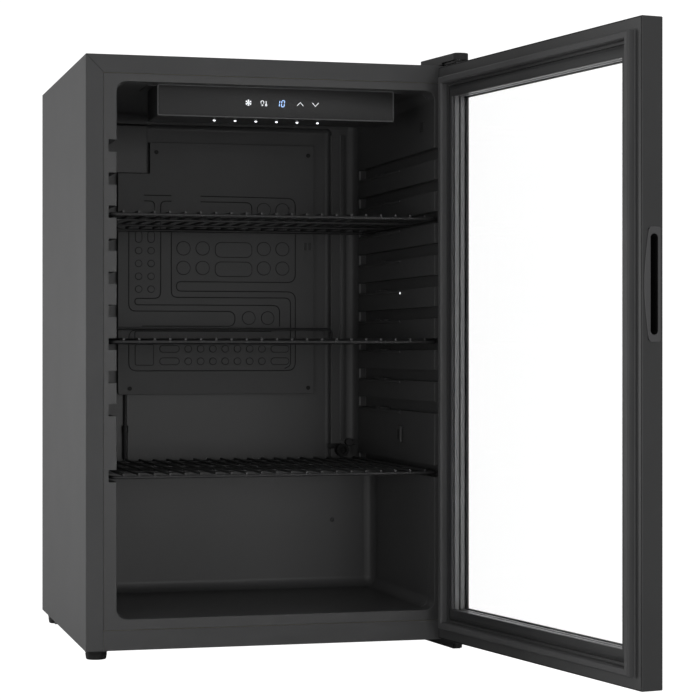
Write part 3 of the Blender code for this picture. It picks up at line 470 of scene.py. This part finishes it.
def groove_details():
    """Shelf stops in the grooves, and thin lighter strips on the edges of the mouldings: painted
    highlights where the edges catch the light.
    """
    bm = bmesh.new()
    for index in GROOVES:
        low = groove_z(index) - GROOVE_HEIGHT / 2
        for side in (-1, 1):
            x = sorted((side * (CAVITY_HALF + GROOVE_DEEP - 0.0002), side * (CAVITY_HALF + 0.0008)))
            add_box(bm, (x[0], 0.272, low - 0.001), (x[1], 0.296, low + 0.0024), 0.0010, 2)
            add_box(bm, (x[0], 0.300, low - 0.001), (x[1], 0.326, low + 0.0030), 0.0010, 2)
            lip = sorted((side * (CAVITY_HALF + 0.0006), side * (CAVITY_HALF - 0.0018)))
            add_box(bm, (lip[0], 0.180, low - 0.0042), (lip[1], 0.420, low - 0.0008), 0.0008, 2)
    finish(object_from("shelf_stops", bm), LINER, "cabinet")
    # lighter strips at the groove ends, the recess edge and the wiring strip edges: painted highlights
    bm = bmesh.new()
    for index in GROOVES:
        z, tall = groove_z(index), GROOVE_HEIGHT / 2 - 0.0014
        x = CAVITY_HALF + 0.0002
        add_box(bm, (x, GROOVE_LENGTH - 0.0010, z - tall),
                (x + 0.0030, GROOVE_LENGTH + 0.0002, z + tall), 0.0004, 1)
    add_box(bm, (RECESS_HALF - 0.0006, CAVITY_BACK + 0.0008, RECESS_LOW + 0.010),
            (RECESS_HALF + 0.0002, RECESS_BACK - 0.0060, RECESS_HIGH - 0.010), 0.0003, 1)
    add_box(bm, (0.2012, CAVITY_BACK - 0.0016, STRIP_LOW), (0.2019, STRIP_SEAT, STRIP_HIGH), 0.0002, 1)
    add_box(bm, (0.2176, CAVITY_BACK - 0.0008, 0.2880), (0.2181, STRIP_SEAT, STRIP_HIGH), 0.0002, 1)
    finish(object_from("painted_edge_highlights", bm), EDGE_PAINTED_HIGHLIGHT, "cabinet")


def back_wall_details():
    """The wiring strip with its clip, and the ribbed caps under it."""
    bm = bmesh.new()
    add_box(bm, (0.2018, CAVITY_BACK - 0.0018, STRIP_LOW), (0.2106, STRIP_SEAT, STRIP_HIGH), 0.0008, 2)
    finish(object_from("wiring_strip", bm), LINER, "cabinet")
    bm = bmesh.new()
    add_box(bm, (0.1805, CAVITY_BACK - 0.0030, 0.2690), (0.1985, STRIP_SEAT, 0.2770), 0.0008, 2)
    finish(object_from("wiring_clip", bm), SLOT_BLACK, "cabinet")
    caps = []
    for x in (0.2150, 0.2245):
        for step in range(3):
            y = CAVITY_BACK - 0.0012 - 0.0028 * step
            reach = 0.0044 if x > 0.22 else 0.0062
            rim = [(0, y - 0.0020), (reach - 0.0004, y - 0.0020), (reach, y - 0.0014),
                   (reach, y + 0.0004), (0, y + 0.0014)]
            caps.append(turned("cap", [(r, -v) for r, v in rim], "y", (x, 0, 0.2790), 24))
    finish(merged("ribbed_caps", caps), DARK_PLASTIC, "cabinet")


def small_fittings():
    """The vent high on the right wall, the clips on the plate and the screw cap below it."""
    bm = bmesh.new()
    for step in range(5):
        z = 0.7485 + step * 0.0030
        slat = (CAVITY_HALF + 0.0003, 0.074, z + 0.0013)
        add_box(bm, (CAVITY_HALF - 0.0006, 0.058, z), slat, 0.0003, 1)
    finish(object_from("ceiling_vent", bm), DARK_PLASTIC, "cabinet")
    clips = []
    for x, z in ((0.142, 0.5965), (0.149, 0.5965)):
        clips.append(box("clip", (x, PLATE_FRONT - 0.0010, z - 0.006),
                         (x + 0.0036, PLATE_FRONT + 0.0002, z + 0.006), 0.0004, 1))
    finish(merged("plate_clip", clips), DARK_PLASTIC, "cabinet")
    cap = turned("cap", [(0, 0.0012), (0.0028, 0.0010), (0.0034, 0), (0, 0)], "y",
                 (0.1615, HUMP_BACK - 0.0001, 0.1615), 24)
    finish(merged("wall_screw_cap", [cap]), DARK_PLASTIC, "cabinet")


def sensor_cover():
    """The sensor cover on the right wall with a black pill on its face for the slot, painted shade, and
    the small screw above it, which glows white as a painted glint.
    """
    low, high = (c - CABINET for c in corners("room_sensor_cover"))
    y, z = 0.1765, (low.z + high.z) / 2
    cover = prism("sensor_cover", pill(y - 0.0110, y + 0.0110, low.z, high.z, 0.0035), low.x, high.x,
                  "x", 0.0012, 3)
    finish(cover, LINER, "cabinet", ["room_sensor_cover"])
    # the slot is a black pill on the cover's face: painted shade where the opening would be dark
    slot = prism("sensor_slot_painted_shade", pill(y - 0.0032, y + 0.0032, z - 0.0082, z + 0.0082),
                 low.x - 0.0002, low.x + 0.0008, "x")
    finish(slot, SLOT_BLACK, "cabinet")
    # the screw head glows white: a painted glint
    head = [(0, -0.0002), (0.0013, -0.0002), (0.0017, 0.0004), (0, 0.0004)]
    screw = turned("sensor_screw_painted_glint", head, "y", (0, 0, 0), 16)
    place = Matrix.Translation((CAVITY_HALF - 0.0006, 0.1795, 0.5150))
    screw.data.transform(place @ Matrix.Rotation(math.pi / 2, 4, "Z"))
    finish(screw, SIGN_AND_GLINT_WHITE, "cabinet")


# ---- evaporator ---------------------------------------------------------------------------------
LINE_R, PAD_T = 0.00075, 0.0010
STRETCH, OFFSET = 1.0101, 0.0020  # of the pattern on the plate, along X


def pill(x0, x1, z0, z1, radius=None):
    """A rounded rectangle, with round ends unless a radius is given."""
    radius = min(x1 - x0, z1 - z0) / 2 * 0.98 if radius is None else radius
    steps = [math.radians(a) for a in range(0, 91, 10)]
    made = []
    for cx, cz, turn in ((x1 - radius, z1 - radius, 0), (x0 + radius, z1 - radius, 90),
                         (x0 + radius, z0 + radius, 180), (x1 - radius, z0 + radius, 270)):
        start = math.radians(turn)
        made += [(cx + radius * math.cos(a + start), cz + radius * math.sin(a + start)) for a in steps]
    return made


def disc(x, z, radius):
    return pill(x - radius, x + radius, z - radius, z + radius)


def spread_x(x):
    """Fits the pattern of pads and channels to the width of the plate."""
    return STRETCH * x - OFFSET


def evaporator():
    """The plate with its pressed pads, and dark lines along its channels and round its pads: painted
    shade at their edges.
    """
    low, high = corners("evaporator_plate")
    low, high = low - CABINET, high - CABINET
    notch_x, notch_z = -0.1104, 0.7094
    outline = [(low.x, low.z), (high.x, low.z), (high.x, high.z),
               (notch_x, high.z), (notch_x, notch_z), (low.x, notch_z)]
    plate = prism("evaporator_sheet", rounded(outline, 0.003, 4), low.y, high.y, "y", 0.0003, 1)
    finish(plate, PLATE, "cabinet", ["evaporator_plate"])
    pads = []
    for row in range(4):
        z = 0.5868 - row * 0.0204
        pads += [disc(-0.1254, z, 0.0051), disc(-0.1056, z, 0.0051)]
    pads += [pill(-0.1305, -0.1203, 0.600, 0.618), pill(-0.1107, -0.1005, 0.600, 0.618)]
    for z in (0.5903, 0.5590):
        pads += [disc(x, z + rise, 0.0106)
                 for x, rise in ((-0.0540, 0.0010), (-0.0232, 0.0012), (0.0758, 0.0014),
                                 (0.1062, 0.0014))]
    pads += [disc(0.0758, 0.6545, 0.0106), disc(0.1062, 0.6545, 0.0106), disc(0.0513, 0.4803, 0.0102),
             disc(0.0821, 0.4803, 0.0102)]
    pads += [pill(-0.0028, 0.0562, 0.5779, 0.6012, 0.009), pill(-0.0028, 0.0562, 0.5470, 0.5699, 0.009)]
    pads += [pill(-0.1306, -0.1019, 0.4049, 0.4377, 0.003)]
    for z in (0.4308, 0.4108):
        pads += [pill(-0.0918, -0.0610, z - 0.0053, z + 0.0053),
                 pill(0.0877, 0.1167, z - 0.0053, z + 0.0053)]
        pads += [disc(-0.0464 + i * 0.01985, z, 0.0053) for i in range(7)]
    pads = [[(spread_x(x), z) for x, z in outline] for outline in pads]
    raised = [prism("pad", outline, low.y - PAD_T, low.y + 0.0002, "y", 0.0003, 1) for outline in pads]
    finish(merged("evaporator_pads", raised), PLATE, "cabinet")
    channels = [
        ([(-0.1167, 0.6750), (-0.0733, 0.6750)], 0.006),
        ([(-0.1167, 0.6660), (-0.0998, 0.6660), (-0.0998, 0.6340), (-0.1409, 0.6340), (-0.1409, 0.4908),
          (0.0290, 0.4908), (0.0290, 0.4670), (-0.1200, 0.4670)], 0.0115),
        ([(-0.0733, 0.6660), (-0.0903, 0.6660), (-0.0903, 0.5110), (-0.1312, 0.5110), (-0.1312, 0.5007),
          (0.1016, 0.5007), (0.1016, 0.4670)], 0.0110),
        ([(-0.0266, 0.6660), (0.0563, 0.6660), (0.0563, 0.6220), (-0.0733, 0.6220), (-0.0733, 0.5129),
          (0.1196, 0.5129), (0.1196, 0.4040), (0.1100, 0.3990)], 0.0100),
        ([(-0.0266, 0.6750), (0.1275, 0.6740), (0.1275, 0.5380), (-0.0652, 0.5380), (-0.0652, 0.5229),
          (0.1275, 0.5229), (0.1275, 0.3957), (-0.1409, 0.3957), (-0.1409, 0.4610), (-0.0700,
                                                                                     0.4610)], 0.0135),
        ([(-0.1312, 0.4440), (-0.1312, 0.4590), (0.0880, 0.4590)], 0.004),
    ]
    # the dark lines along the channels and round the pads are painted shade
    y = low.y - 0.0001
    routes = [([(spread_x(x), y, z) for x, z in bent(points, radius)], LINE_R, False)
              for points, radius in channels]
    routes += [([(x, low.y - PAD_T * 0.4, z) for x, z in outline], LINE_R * 0.95,
                True) for outline in pads]
    finish(pipes("evaporator_channel_painted_shade", routes, 1), SEAM_AND_SHADE_LINE, "cabinet")


# ---- shelves ------------------------------------------------------------------------------------
def shelf(name, node, body, fenced):
    low, high = corners(node)
    low, high = low - CABINET, high - CABINET
    rail, wire, bar, pitch, count = 0.0024, 0.0018, 0.0019, 0.0218, 21
    z = low.z + rail
    x, front, back = high.x - rail, low.y + rail, high.y - rail
    loop = rounded([(-x, front), (x, front), (x, back), (-x, back)], 0.007, 8)
    routes = [([(px, py, z) for px, py in loop], rail, True)]
    routes += [([(-x + 0.001, y, z), (x - 0.001, y, z)], bar, False) for y in (0.146, 0.282)]
    top = z + rail + wire * 0.72
    for i in range(count):
        px = (i - (count - 1) / 2) * pitch
        routes.append(([(px, front - 0.0012, top), (px, back + 0.0012, top)], wire, False))
    if fenced:
        half, y, peak = 0.182, back, z + 0.0222
        path = bent([(-half, z), (-half, peak), (half, peak), (half, z)], 0.012, 8)
        routes.append(([(px, y, pz) for px, pz in path], 0.0019, False))
    obj = pipes(name, routes, 3)
    finish(obj, WIRE, body, [node])


# ---- control box --------------------------------------------------------------------------------
def fascia():
    """The panel and the pale line round it. Returns the depth and the height of the signs on it."""
    low, high = corners("control_fascia")
    low, high = low - CABINET, high - CABINET
    outline = rounded([(low.x, low.z), (high.x, low.z), (high.x, high.z), (low.x, high.z)], 0.0016, 5)
    face = prism("fascia_panel", outline, low.y, high.y, "y", 0.0004, 2)
    finish(face, FASCIA, "cabinet", ["control_fascia"])
    edge, y = 0.0006, low.y + 0.0004
    x0, x1, z0, z1 = low.x - 0.0014, high.x + 0.0014, low.z - 0.0014, high.z + 0.0014
    outline = rounded([(x0, z0), (x1, z0), (x1, z1), (x0, z1)], 0.0028, 5)
    line = pipes("fascia_trim_line", [([(px, y, pz) for px, pz in outline], edge, True)], 2)
    finish(line, TRIM, "cabinet")
    return low.y - 0.00005, (low.z + high.z) / 2 - 0.0006


def arc_points(x, z, radius, start, stop, step):
    angles = [math.radians(a) for a in range(start, stop, step)]
    return [(x + radius * math.cos(a), z + radius * math.sin(a)) for a in angles]


def touch_signs(y, middle):
    """A snowflake, a lamp with a thermometer, and the two arrows."""
    marks = []

    def stroke(points):
        marks.append(([(px, y, pz) for px, pz in points], 0.00036, False))

    flake_x, arm = -0.0391, 0.0044
    for turn in range(3):
        a = math.radians(30 + 60 * turn)
        dx, dz = math.cos(a) * arm, math.sin(a) * arm
        stroke([(flake_x - dx, middle - dz), (flake_x + dx, middle + dz)])
        for sign in (-1, 1):
            cx, cz = flake_x + sign * dx * 0.66, middle + sign * dz * 0.66
            for bend in (-55, 55):
                b = a + math.radians(bend) + (math.pi if sign < 0 else 0)
                stroke([(cx, cz), (cx + math.cos(b) * 0.0014, cz + math.sin(b) * 0.0014)])
    stroke(arc_points(-0.0190, middle + 0.0012, 0.0022, -50, 231, 20))
    stroke([(-0.0202, middle - 0.0024), (-0.0178, middle - 0.0024)])
    stroke([(-0.0200, middle - 0.0036), (-0.0180, middle - 0.0036)])
    stroke(arc_points(-0.0135, middle - 0.0026, 0.0012, 0, 361, 30))
    stroke([(-0.0135, middle - 0.0014), (-0.0135, middle + 0.0030)])
    for centre, sign in ((0.0361, 1), (0.0584, -1)):
        ends = [(centre + side * 0.0046, middle - sign * 0.0026) for side in (-1, 1)]
        stroke([ends[0], (centre, middle + sign * 0.0026), ends[1]])
    finish(pipes("touch_signs", marks, 1), SIGN_AND_GLINT_WHITE, "cabinet")


def display_figures(y, middle):
    """The leaning figures 1 and 0, out of straight segments."""
    digits = []
    lean, tall, wide, gap = 0.12, 0.0044, 0.0040, 0.0005

    def segment(x, z, dx, dz):
        start, end = (x + lean * (z - middle), z), (x + dx + lean * (z + dz - middle), z + dz)
        digits.append(([(start[0], y, start[1]), (end[0], y, end[1])], 0.00055, False))

    one, left = 0.0060, 0.0090
    for x in (one, left, left + wide):
        segment(x, middle + gap, 0, tall - 2 * gap)
        segment(x, middle - tall + gap, 0, tall - 2 * gap)
    for z in (middle - tall, middle + tall):
        segment(left + gap, z, wide - 2 * gap, 0)
    finish(pipes("display_figures", digits, 1), SIGN_BLUE, "cabinet")


def lamp_strip():
    low, high = (c - CABINET for c in corners("led_strip"))
    pitch, centre, count = 0.0303, -0.0048, 6
    y, base = (low.y + high.y) / 2, low.z + 0.0026
    profile = [(0, base + 0.0006), (0.0018, base + 0.0006), (0.0018, base - 0.0028),
               (0.0013, base - 0.0036), (0, base - 0.0040)]
    lenses = [turned("lens", profile, "z", (centre + (i - 2.5) * pitch, y, 0),
                     20) for i in range(count)]
    lenses.append(box("bar", (low.x, low.y, high.z - 0.0016), (high.x, high.y, high.z), 0.0003, 1))
    finish(merged("lamp_lenses", lenses), LIGHT_WHITE, "cabinet", ["led_strip"])


def control_box():
    depth, height = fascia()
    touch_signs(depth, height)
    display_figures(depth, height)
    lamp_strip()


# ---- door ---------------------------------------------------------------------------------------
def door_depths(node):
    """The depths between which a door piece lies, with the door shut."""
    back = DOOR_PLACE.inverted()
    depths = [(back @ v.co).y for v in frame["nodes"][node].data.vertices]
    return min(depths), max(depths)


def door():
    """The rings round the glass. Their profiles are (inset from the door's edge, depth)."""
    retaining = [(0.0304, -0.0146), (0.0456, -0.0146), (0.0456, -0.0118), (0.0450, -0.0112),
                 (0.0352, -0.0112), (0.0342, -0.0116), (0.0312, -0.0136), (0.0304, -0.0138)]
    finish(ring_sweep("glass_retainer", retaining), RETAINER, "door",
           ["door_retaining_frame"])
    bulb = rounded([(0.0160, -0.0106), (0.0164, -0.0034), (0.0178, -0.0010),
                    (0.0246, -0.0010), (0.0262, -0.0034), (0.0266, -0.0106)],
                   [0.0005, 0.0015, 0.0015, 0.0015, 0.0015, 0.0005], 4)
    bellows = [(0.0258, -0.0106), (0.0258, -0.0140), (0.0172, -0.0140), (0.0172, -0.0106)]
    finish(ring_sweep("gasket_profile", bulb + bellows), GASKET, "door", ["door_gasket"])
    lip = rounded([(0.0140, -0.0109), (0.0154, -0.0097), (0.0160, -0.0097), (0.0160, -0.0109)],
                  [0.0, 0.0002, 0.0, 0.0], 2)
    finish(ring_sweep("gasket_lip", lip), GASKET, "door")
    for name, node in (("outer_spacer", "outer_glass_spacer"), ("inner_spacer", "middle_glass_spacer")):
        y0, y1 = door_depths(node)
        profile = [(0.0390, y0), (0.0436, y0), (0.0448, y0 + 0.0012),
                   (0.0448, y1 - 0.0012), (0.0436, y1), (0.0390, y1)]
        spacer = ring_sweep(name, profile, 20.0)
        # faces left of this line take the darker copy: painted shade
        for face in spacer.data.polygons:
            face.material_index = int(face.center.x < PAINTED_SHADE_LEFT_OF)
        finish(spacer, SPACER_LIT_COPY, "door", [node])
        spacer.data.materials.append(SPACER_SHADED_COPY)
    seam = [(0.0006, -0.01115), (0.0006, -0.01085), (0.0019, -0.01085), (0.0019, -0.01115)]
    finish(ring_sweep("door_corner_seam", seam), SLOT_BLACK, "door")
    handle()


def handle():
    """The pull let into the door's free edge: a bowed face with a slot, the cup behind it, its rim."""
    z, tall, slot_half = 0.5085, 0.1345 + 0.0050, 0.0612
    outer, inner, bow = DOOR_INNER - 0.0262, DOOR_INNER - 0.0092, 0.0062
    top, low = z + tall / 2, z - tall / 2
    curve = [(inner + bow * math.cos(math.pi * t / 24), z + (tall / 2 - 0.004) * t / 12)
             for t in range(12, -13, -1)]
    outline = [(outer, top), (inner - 0.003, top)] + curve + [(inner - 0.003, low), (outer, low)]
    radii = [0.003, 0.0015] + [0] * len(curve) + [0.0015, 0.003]
    proud, sunk = DOOR_LEFT - 0.00119, DOOR_LEFT - GAP / 3
    face = prism("pull_face", rounded(outline, radii, 5), proud, sunk, "x", 0.0007, 3)
    slot_low, slot_high = DOOR_INNER - 0.0225, DOOR_INNER - 0.0117
    slot = pill(slot_low, slot_high, z - slot_half, z + slot_half)
    cut(face, prism("pull_slot", slot, DOOR_LEFT - 0.01, DOOR_LEFT + 0.01, "x"))
    baked(face)
    finish(face, HANDLE, "door", ["door_handle"])
    wall, deep = 0.0012, 0.0218
    shell = pill(slot_low - wall, slot_high + wall, z - slot_half - wall, z + slot_half + wall)
    cup = prism("cup", shell, DOOR_LEFT - 0.0002, DOOR_LEFT + deep, "x")
    cut(cup, prism("cup_space", slot, DOOR_LEFT - 0.02, DOOR_LEFT + 0.0200, "x"))
    finish(baked(cup), SLOT_BLACK, "door")
    rim = pill(slot_low - 0.0007, slot_high + 0.0007, z - slot_half - 0.0007, z + slot_half + 0.0007)
    line = pipes("pull_rim", [([(DOOR_LEFT - 0.0009, py, pz) for py, pz in rim], 0.0003, True)], 2)
    finish(line, DARK_PLASTIC, "door")


# ---- hinges and feet ----------------------------------------------------------------------------
def hinge_outline(grow, back, left, right):
    """A plate that narrows from its back edge to a round nose about the hinge pin."""
    reach = 0.0068 + grow
    nose = []
    for x, start in ((PIN.x, 170), (0.2600, 270)):
        turns = [math.radians(start + step) for step in range(0, 101, 10)]
        nose += [(x + reach * math.cos(a), PIN.y + reach * math.sin(a)) for a in turns]
    return nose + [(right + grow, 0.002), (right + grow, back + grow), (left - grow, back + grow)]


def hinge_cover():
    low, high = (c - CABINET for c in corners("top_hinge_cover"))
    shape = hinge_outline(0.0021, 0.0659, 0.2300, 0.2670)
    left = shape[-1][0]
    shape[-1:] = [(left + 0.003, shape[-1][1]), (left, shape[-1][1] - 0.003)]
    cap = prism("hinge_cover", shape, low.z, high.z, "z", 0.0016, 4)
    inner = hinge_outline(0.0010, 0.0642, 0.2300, 0.2670)
    cut(cap, box("hinge_cover_gap", (0.2, -0.1, low.z - 0.01), (0.3, -0.0005, low.z + 0.0037)))
    cut(cap, prism("hinge_cover_space", inner, low.z - 0.01, high.z - 0.0015))
    finish(baked(cap), DARK_PLASTIC, "cabinet", ["top_hinge_cover"])


def feet():
    for node, body in (("front_left_foot", "left_foot"), ("front_right_foot", "right_foot"),
                       ("rear_left_foot", "cabinet"), ("rear_right_foot", "cabinet")):
        low, high = (c - CABINET for c in corners(node))
        x, y = (low.x + high.x) / 2, (low.y + high.y) / 2
        top, wide = high.z - 0.0160, (high.x - low.x) / 2
        base = wide - 0.0015
        stem = [(0, high.z), (0.0034, high.z), (0.0040, high.z - 0.0006), (0.0040, top)]
        head = [(wide - 0.0006, top), (wide, top - 0.0006), (wide - 0.0002, top - 0.0030)]
        groove = [(wide - 0.0012, top - 0.0034), (wide - 0.0012, top - 0.0042),
                  (wide - 0.0004, top - 0.0046)]
        profile = stem + head + groove + [(base, 0.0010), (base - 0.0010, 0.0), (0, 0)]
        finish(turned(f"{node}_pad", profile, "z", (x, y, 0), 40), RUBBER, body, [node])


# ---- back and machine room ----------------------------------------------------------------------
def back_sheet():
    low, high = (c - CABINET for c in corners("back_panel"))
    sheet = box("back_sheet", (low.x, low.y, low.z), (high.x, high.y - 0.0004, high.z), 0.0002, 1)
    rows, end, side_end = 6, 0.070, 0.045
    ribs = []
    for i in range(rows):
        z = low.z + end + i * (high.z - low.z - 2 * end) / (rows - 1)
        rib = pill(low.x + side_end, high.x - side_end, z - 0.004, z + 0.004)
        ribs.append(prism("rib", rib, high.y - 0.0006, high.y, "y", 0.00035, 2))
    head = [(0, -high.y), (0.0030, -high.y), (0.0038, -high.y + 0.0004), (0, -high.y + 0.0004)]
    screws = []
    for x in (low.x + 0.010, 0.0, high.x - 0.010):
        for z in (low.z + 0.010, high.z - 0.010):
            screws.append(turned("screw", head, "y", (x, 0, z), 20))
    finish(merged("back_sheet_pressed", [sheet] + ribs), ZINC, "cabinet", ["back_panel"])
    finish(merged("back_screws", screws), STEEL, "cabinet")


def machine_room():
    low, high = (c - CABINET for c in corners("compressor"))
    x, y = (low.x + high.x) / 2, (low.y + high.y) / 2
    radius, seam, base = (high.y - low.y) / 2, (low.z + high.z) / 2, low.z + 0.002
    dome = 0.030
    arc = [(radius - 0.005 - dome * (1 - math.cos(a)), high.z - dome + dome * math.sin(a))
           for a in (math.radians(step) for step in range(90, -1, -9))]
    waist = [(radius - 0.005, seam + 0.005), (radius - 0.001, seam + 0.004), (radius, seam + 0.003),
             (radius, seam - 0.003), (radius - 0.001, seam - 0.004), (radius - 0.005, seam - 0.005)]
    bowl = [(radius - 0.005, base + 0.016), (radius - 0.009, base + 0.006),
            (radius - 0.018, base + 0.001)]
    profile = [(0, high.z), (0.010, high.z)] + arc + waist + bowl + [(0, base)]
    body = turned("compressor_shell", profile, "z", (x, y, 0), 64)
    half = 0.040
    sole = rounded([(low.x, y - half), (high.x, y - half), (high.x, y + half), (low.x, y + half)],
                   0.008, 5)
    foot = prism("mount_plate", sole, low.z, low.z + 0.0035, "z", 0.0006, 2)
    lug = [(0, low.z + 0.0075), (0.005, low.z + 0.0075), (0.006, low.z + 0.0065),
           (0.006, low.z + 0.003), (0, low.z + 0.003)]
    lugs = [turned("lug", lug, "z", (x + sx * 0.066, y + sy * 0.030, 0), 20)
            for sx in (-1, 1) for sy in (-1, 1)]
    finish(merged("compressor_body", [body, foot] + lugs), COMPRESSOR, "cabinet",
           ["compressor"])


# ---- looks of the CAD pieces that stay ----------------------------------------------------------
KEPT = {
    PAINT: ("outer_wrap", "front_strip"),
    FOAM: ("insulation_foam",),
    ZINC: ("bottom_plate", "machine_room_panel", "compressor_base"),
    BLACK_STEEL: ("top_hinge_plate", "bottom_hinge_plate", "bottom_hinge_pin"),
    STEEL: ("top_hinge_pin", "top_hinge_screw_left", "top_hinge_screw_right",
            "bottom_hinge_screw_front",
            "bottom_hinge_screw_rear"),
    COPPER: ("suction_pipe", "discharge_pipe", "filter_drier", "condenser_coil"),
    RUBBER: ("compressor_mount_left", "compressor_mount_right", "drain_tube", "cord_gland",
             "pipe_grommet"),
    DARK_PLASTIC: ("relay_cover", "drain_tray", "electrical_box", "evaporator_sensor", "top_door_bush",
                   "bottom_door_bush"),
    SLOT_BLACK: ("evaporator_screw_1", "evaporator_screw_2", "evaporator_screw_3",
                 "evaporator_screw_4"),
    LINER: ("evaporator_tube_cover",),
    HOUSING: ("control_housing",),
    BOARD: ("display_board",),
    FRAME_PLASTIC: ("door_frame",),
    GLASS: ("outer_glass_pane", "middle_glass_pane", "inner_glass_pane"),
}


def kept_nodes():
    for look, names in KEPT.items():
        for name in names:
            data = frame["nodes"][name].data
            data.materials.clear()
            data.materials.append(look)


# ---- studio -------------------------------------------------------------------------------------
# the light of the surroundings, and how bright they are where they are seen directly
WORLD_LIGHT, PAPER = 0.285, 1.12
# name, place, aim, size, power
LIGHTS = [
    ("left_rear_bank", (-3.2, 2.3, 0.45), (-0.3, 0.25, 0.42), (1.6, 0.9), 35.0),
    ("front_fill", (0.5, -3.8, 0.42), (0.0, 0.2, 0.45), (1.4, 1.0), 14.0),
    ("left_front_low", (-1.7, -1.9, 0.30), (0.2, 0.1, 0.50), (0.8, 0.6), 3.8),
]
CAMERA_PLACE, CAMERA_TURN, CAMERA_LENS = (-0.6815, -3.0187, 0.4292), 15.167, 112.77
CAMERA_SHIFT = (-0.0320, -0.0003)


def seen_directly(tree):
    """1 for what the camera sees directly or through glass, else 0."""
    path = tree.nodes.new("ShaderNodeLightPath")
    either = tree.nodes.new("ShaderNodeMath")
    either.operation = "MAXIMUM"
    tree.links.new(path.outputs["Is Camera Ray"], either.inputs[0])
    tree.links.new(path.outputs["Is Transmission Ray"], either.inputs[1])
    return either.outputs[0]


def studio():
    world = bpy.data.worlds.new("studio")
    bpy.context.scene.world = world
    world.use_nodes = True
    tree = world.node_tree
    background = tree.nodes["Background"]
    background.inputs["Color"].default_value = (1.0, 1.0, 1.0, 1.0)
    strength = tree.nodes.new("ShaderNodeMix")
    strength.inputs["A"].default_value = WORLD_LIGHT
    strength.inputs["B"].default_value = PAPER
    tree.links.new(seen_directly(tree), strength.inputs["Factor"])
    tree.links.new(strength.outputs["Result"], background.inputs["Strength"])
    bm = bmesh.new()
    bmesh.ops.create_grid(bm, x_segments=1, y_segments=1, size=9.0)
    floor = object_from("floor", bm, None)
    floor.location = (0, 0, -0.0005)
    paper = bpy.data.materials.new("pale_paper")
    paper.use_nodes = True
    tree = paper.node_tree
    tree.nodes.remove(tree.nodes["Principled BSDF"])
    diffuse = tree.nodes.new("ShaderNodeBsdfDiffuse")
    diffuse.inputs["Color"].default_value = (0.8, 0.8, 0.8, 1.0)
    glow = tree.nodes.new("ShaderNodeEmission")
    glow.inputs["Strength"].default_value = PAPER
    mix = tree.nodes.new("ShaderNodeMixShader")
    tree.links.new(seen_directly(tree), mix.inputs["Fac"])
    tree.links.new(diffuse.outputs[0], mix.inputs[1])
    tree.links.new(glow.outputs[0], mix.inputs[2])
    tree.links.new(mix.outputs[0], tree.nodes["Material Output"].inputs["Surface"])
    floor.data.materials.append(paper)
    for name, place, aim, size, power in LIGHTS:
        lamp = bpy.data.lights.new(name, "AREA")
        lamp.shape = "RECTANGLE"
        lamp.size, lamp.size_y = size
        lamp.energy = power
        holder = link(bpy.data.objects.new(name, lamp))
        holder.location = place
        holder.rotation_euler = (Vector(aim) - Vector(place)).to_track_quat("-Z", "Y").to_euler()
    view = bpy.data.cameras.new("view")
    view.sensor_width = 36.0
    view.lens = CAMERA_LENS
    view.shift_x, view.shift_y = CAMERA_SHIFT
    camera = link(bpy.data.objects.new("view", view))
    camera.location = CABINET + Vector(CAMERA_PLACE)
    camera.rotation_euler = (math.pi / 2, 0, -math.radians(CAMERA_TURN))
    bpy.context.scene.camera = camera
    bpy.context.scene.view_settings.view_transform = "Standard"


kept_nodes()
liner()
groove_details()
back_wall_details()
small_fittings()
sensor_cover()
evaporator()
for label in ("upper", "middle", "lower"):
    shelf(f"{label}_wire_shelf", f"shelf_{label}", f"{label}_shelf", label != "lower")
control_box()
door()
hinge_cover()
feet()
back_sheet()
machine_room()
studio()
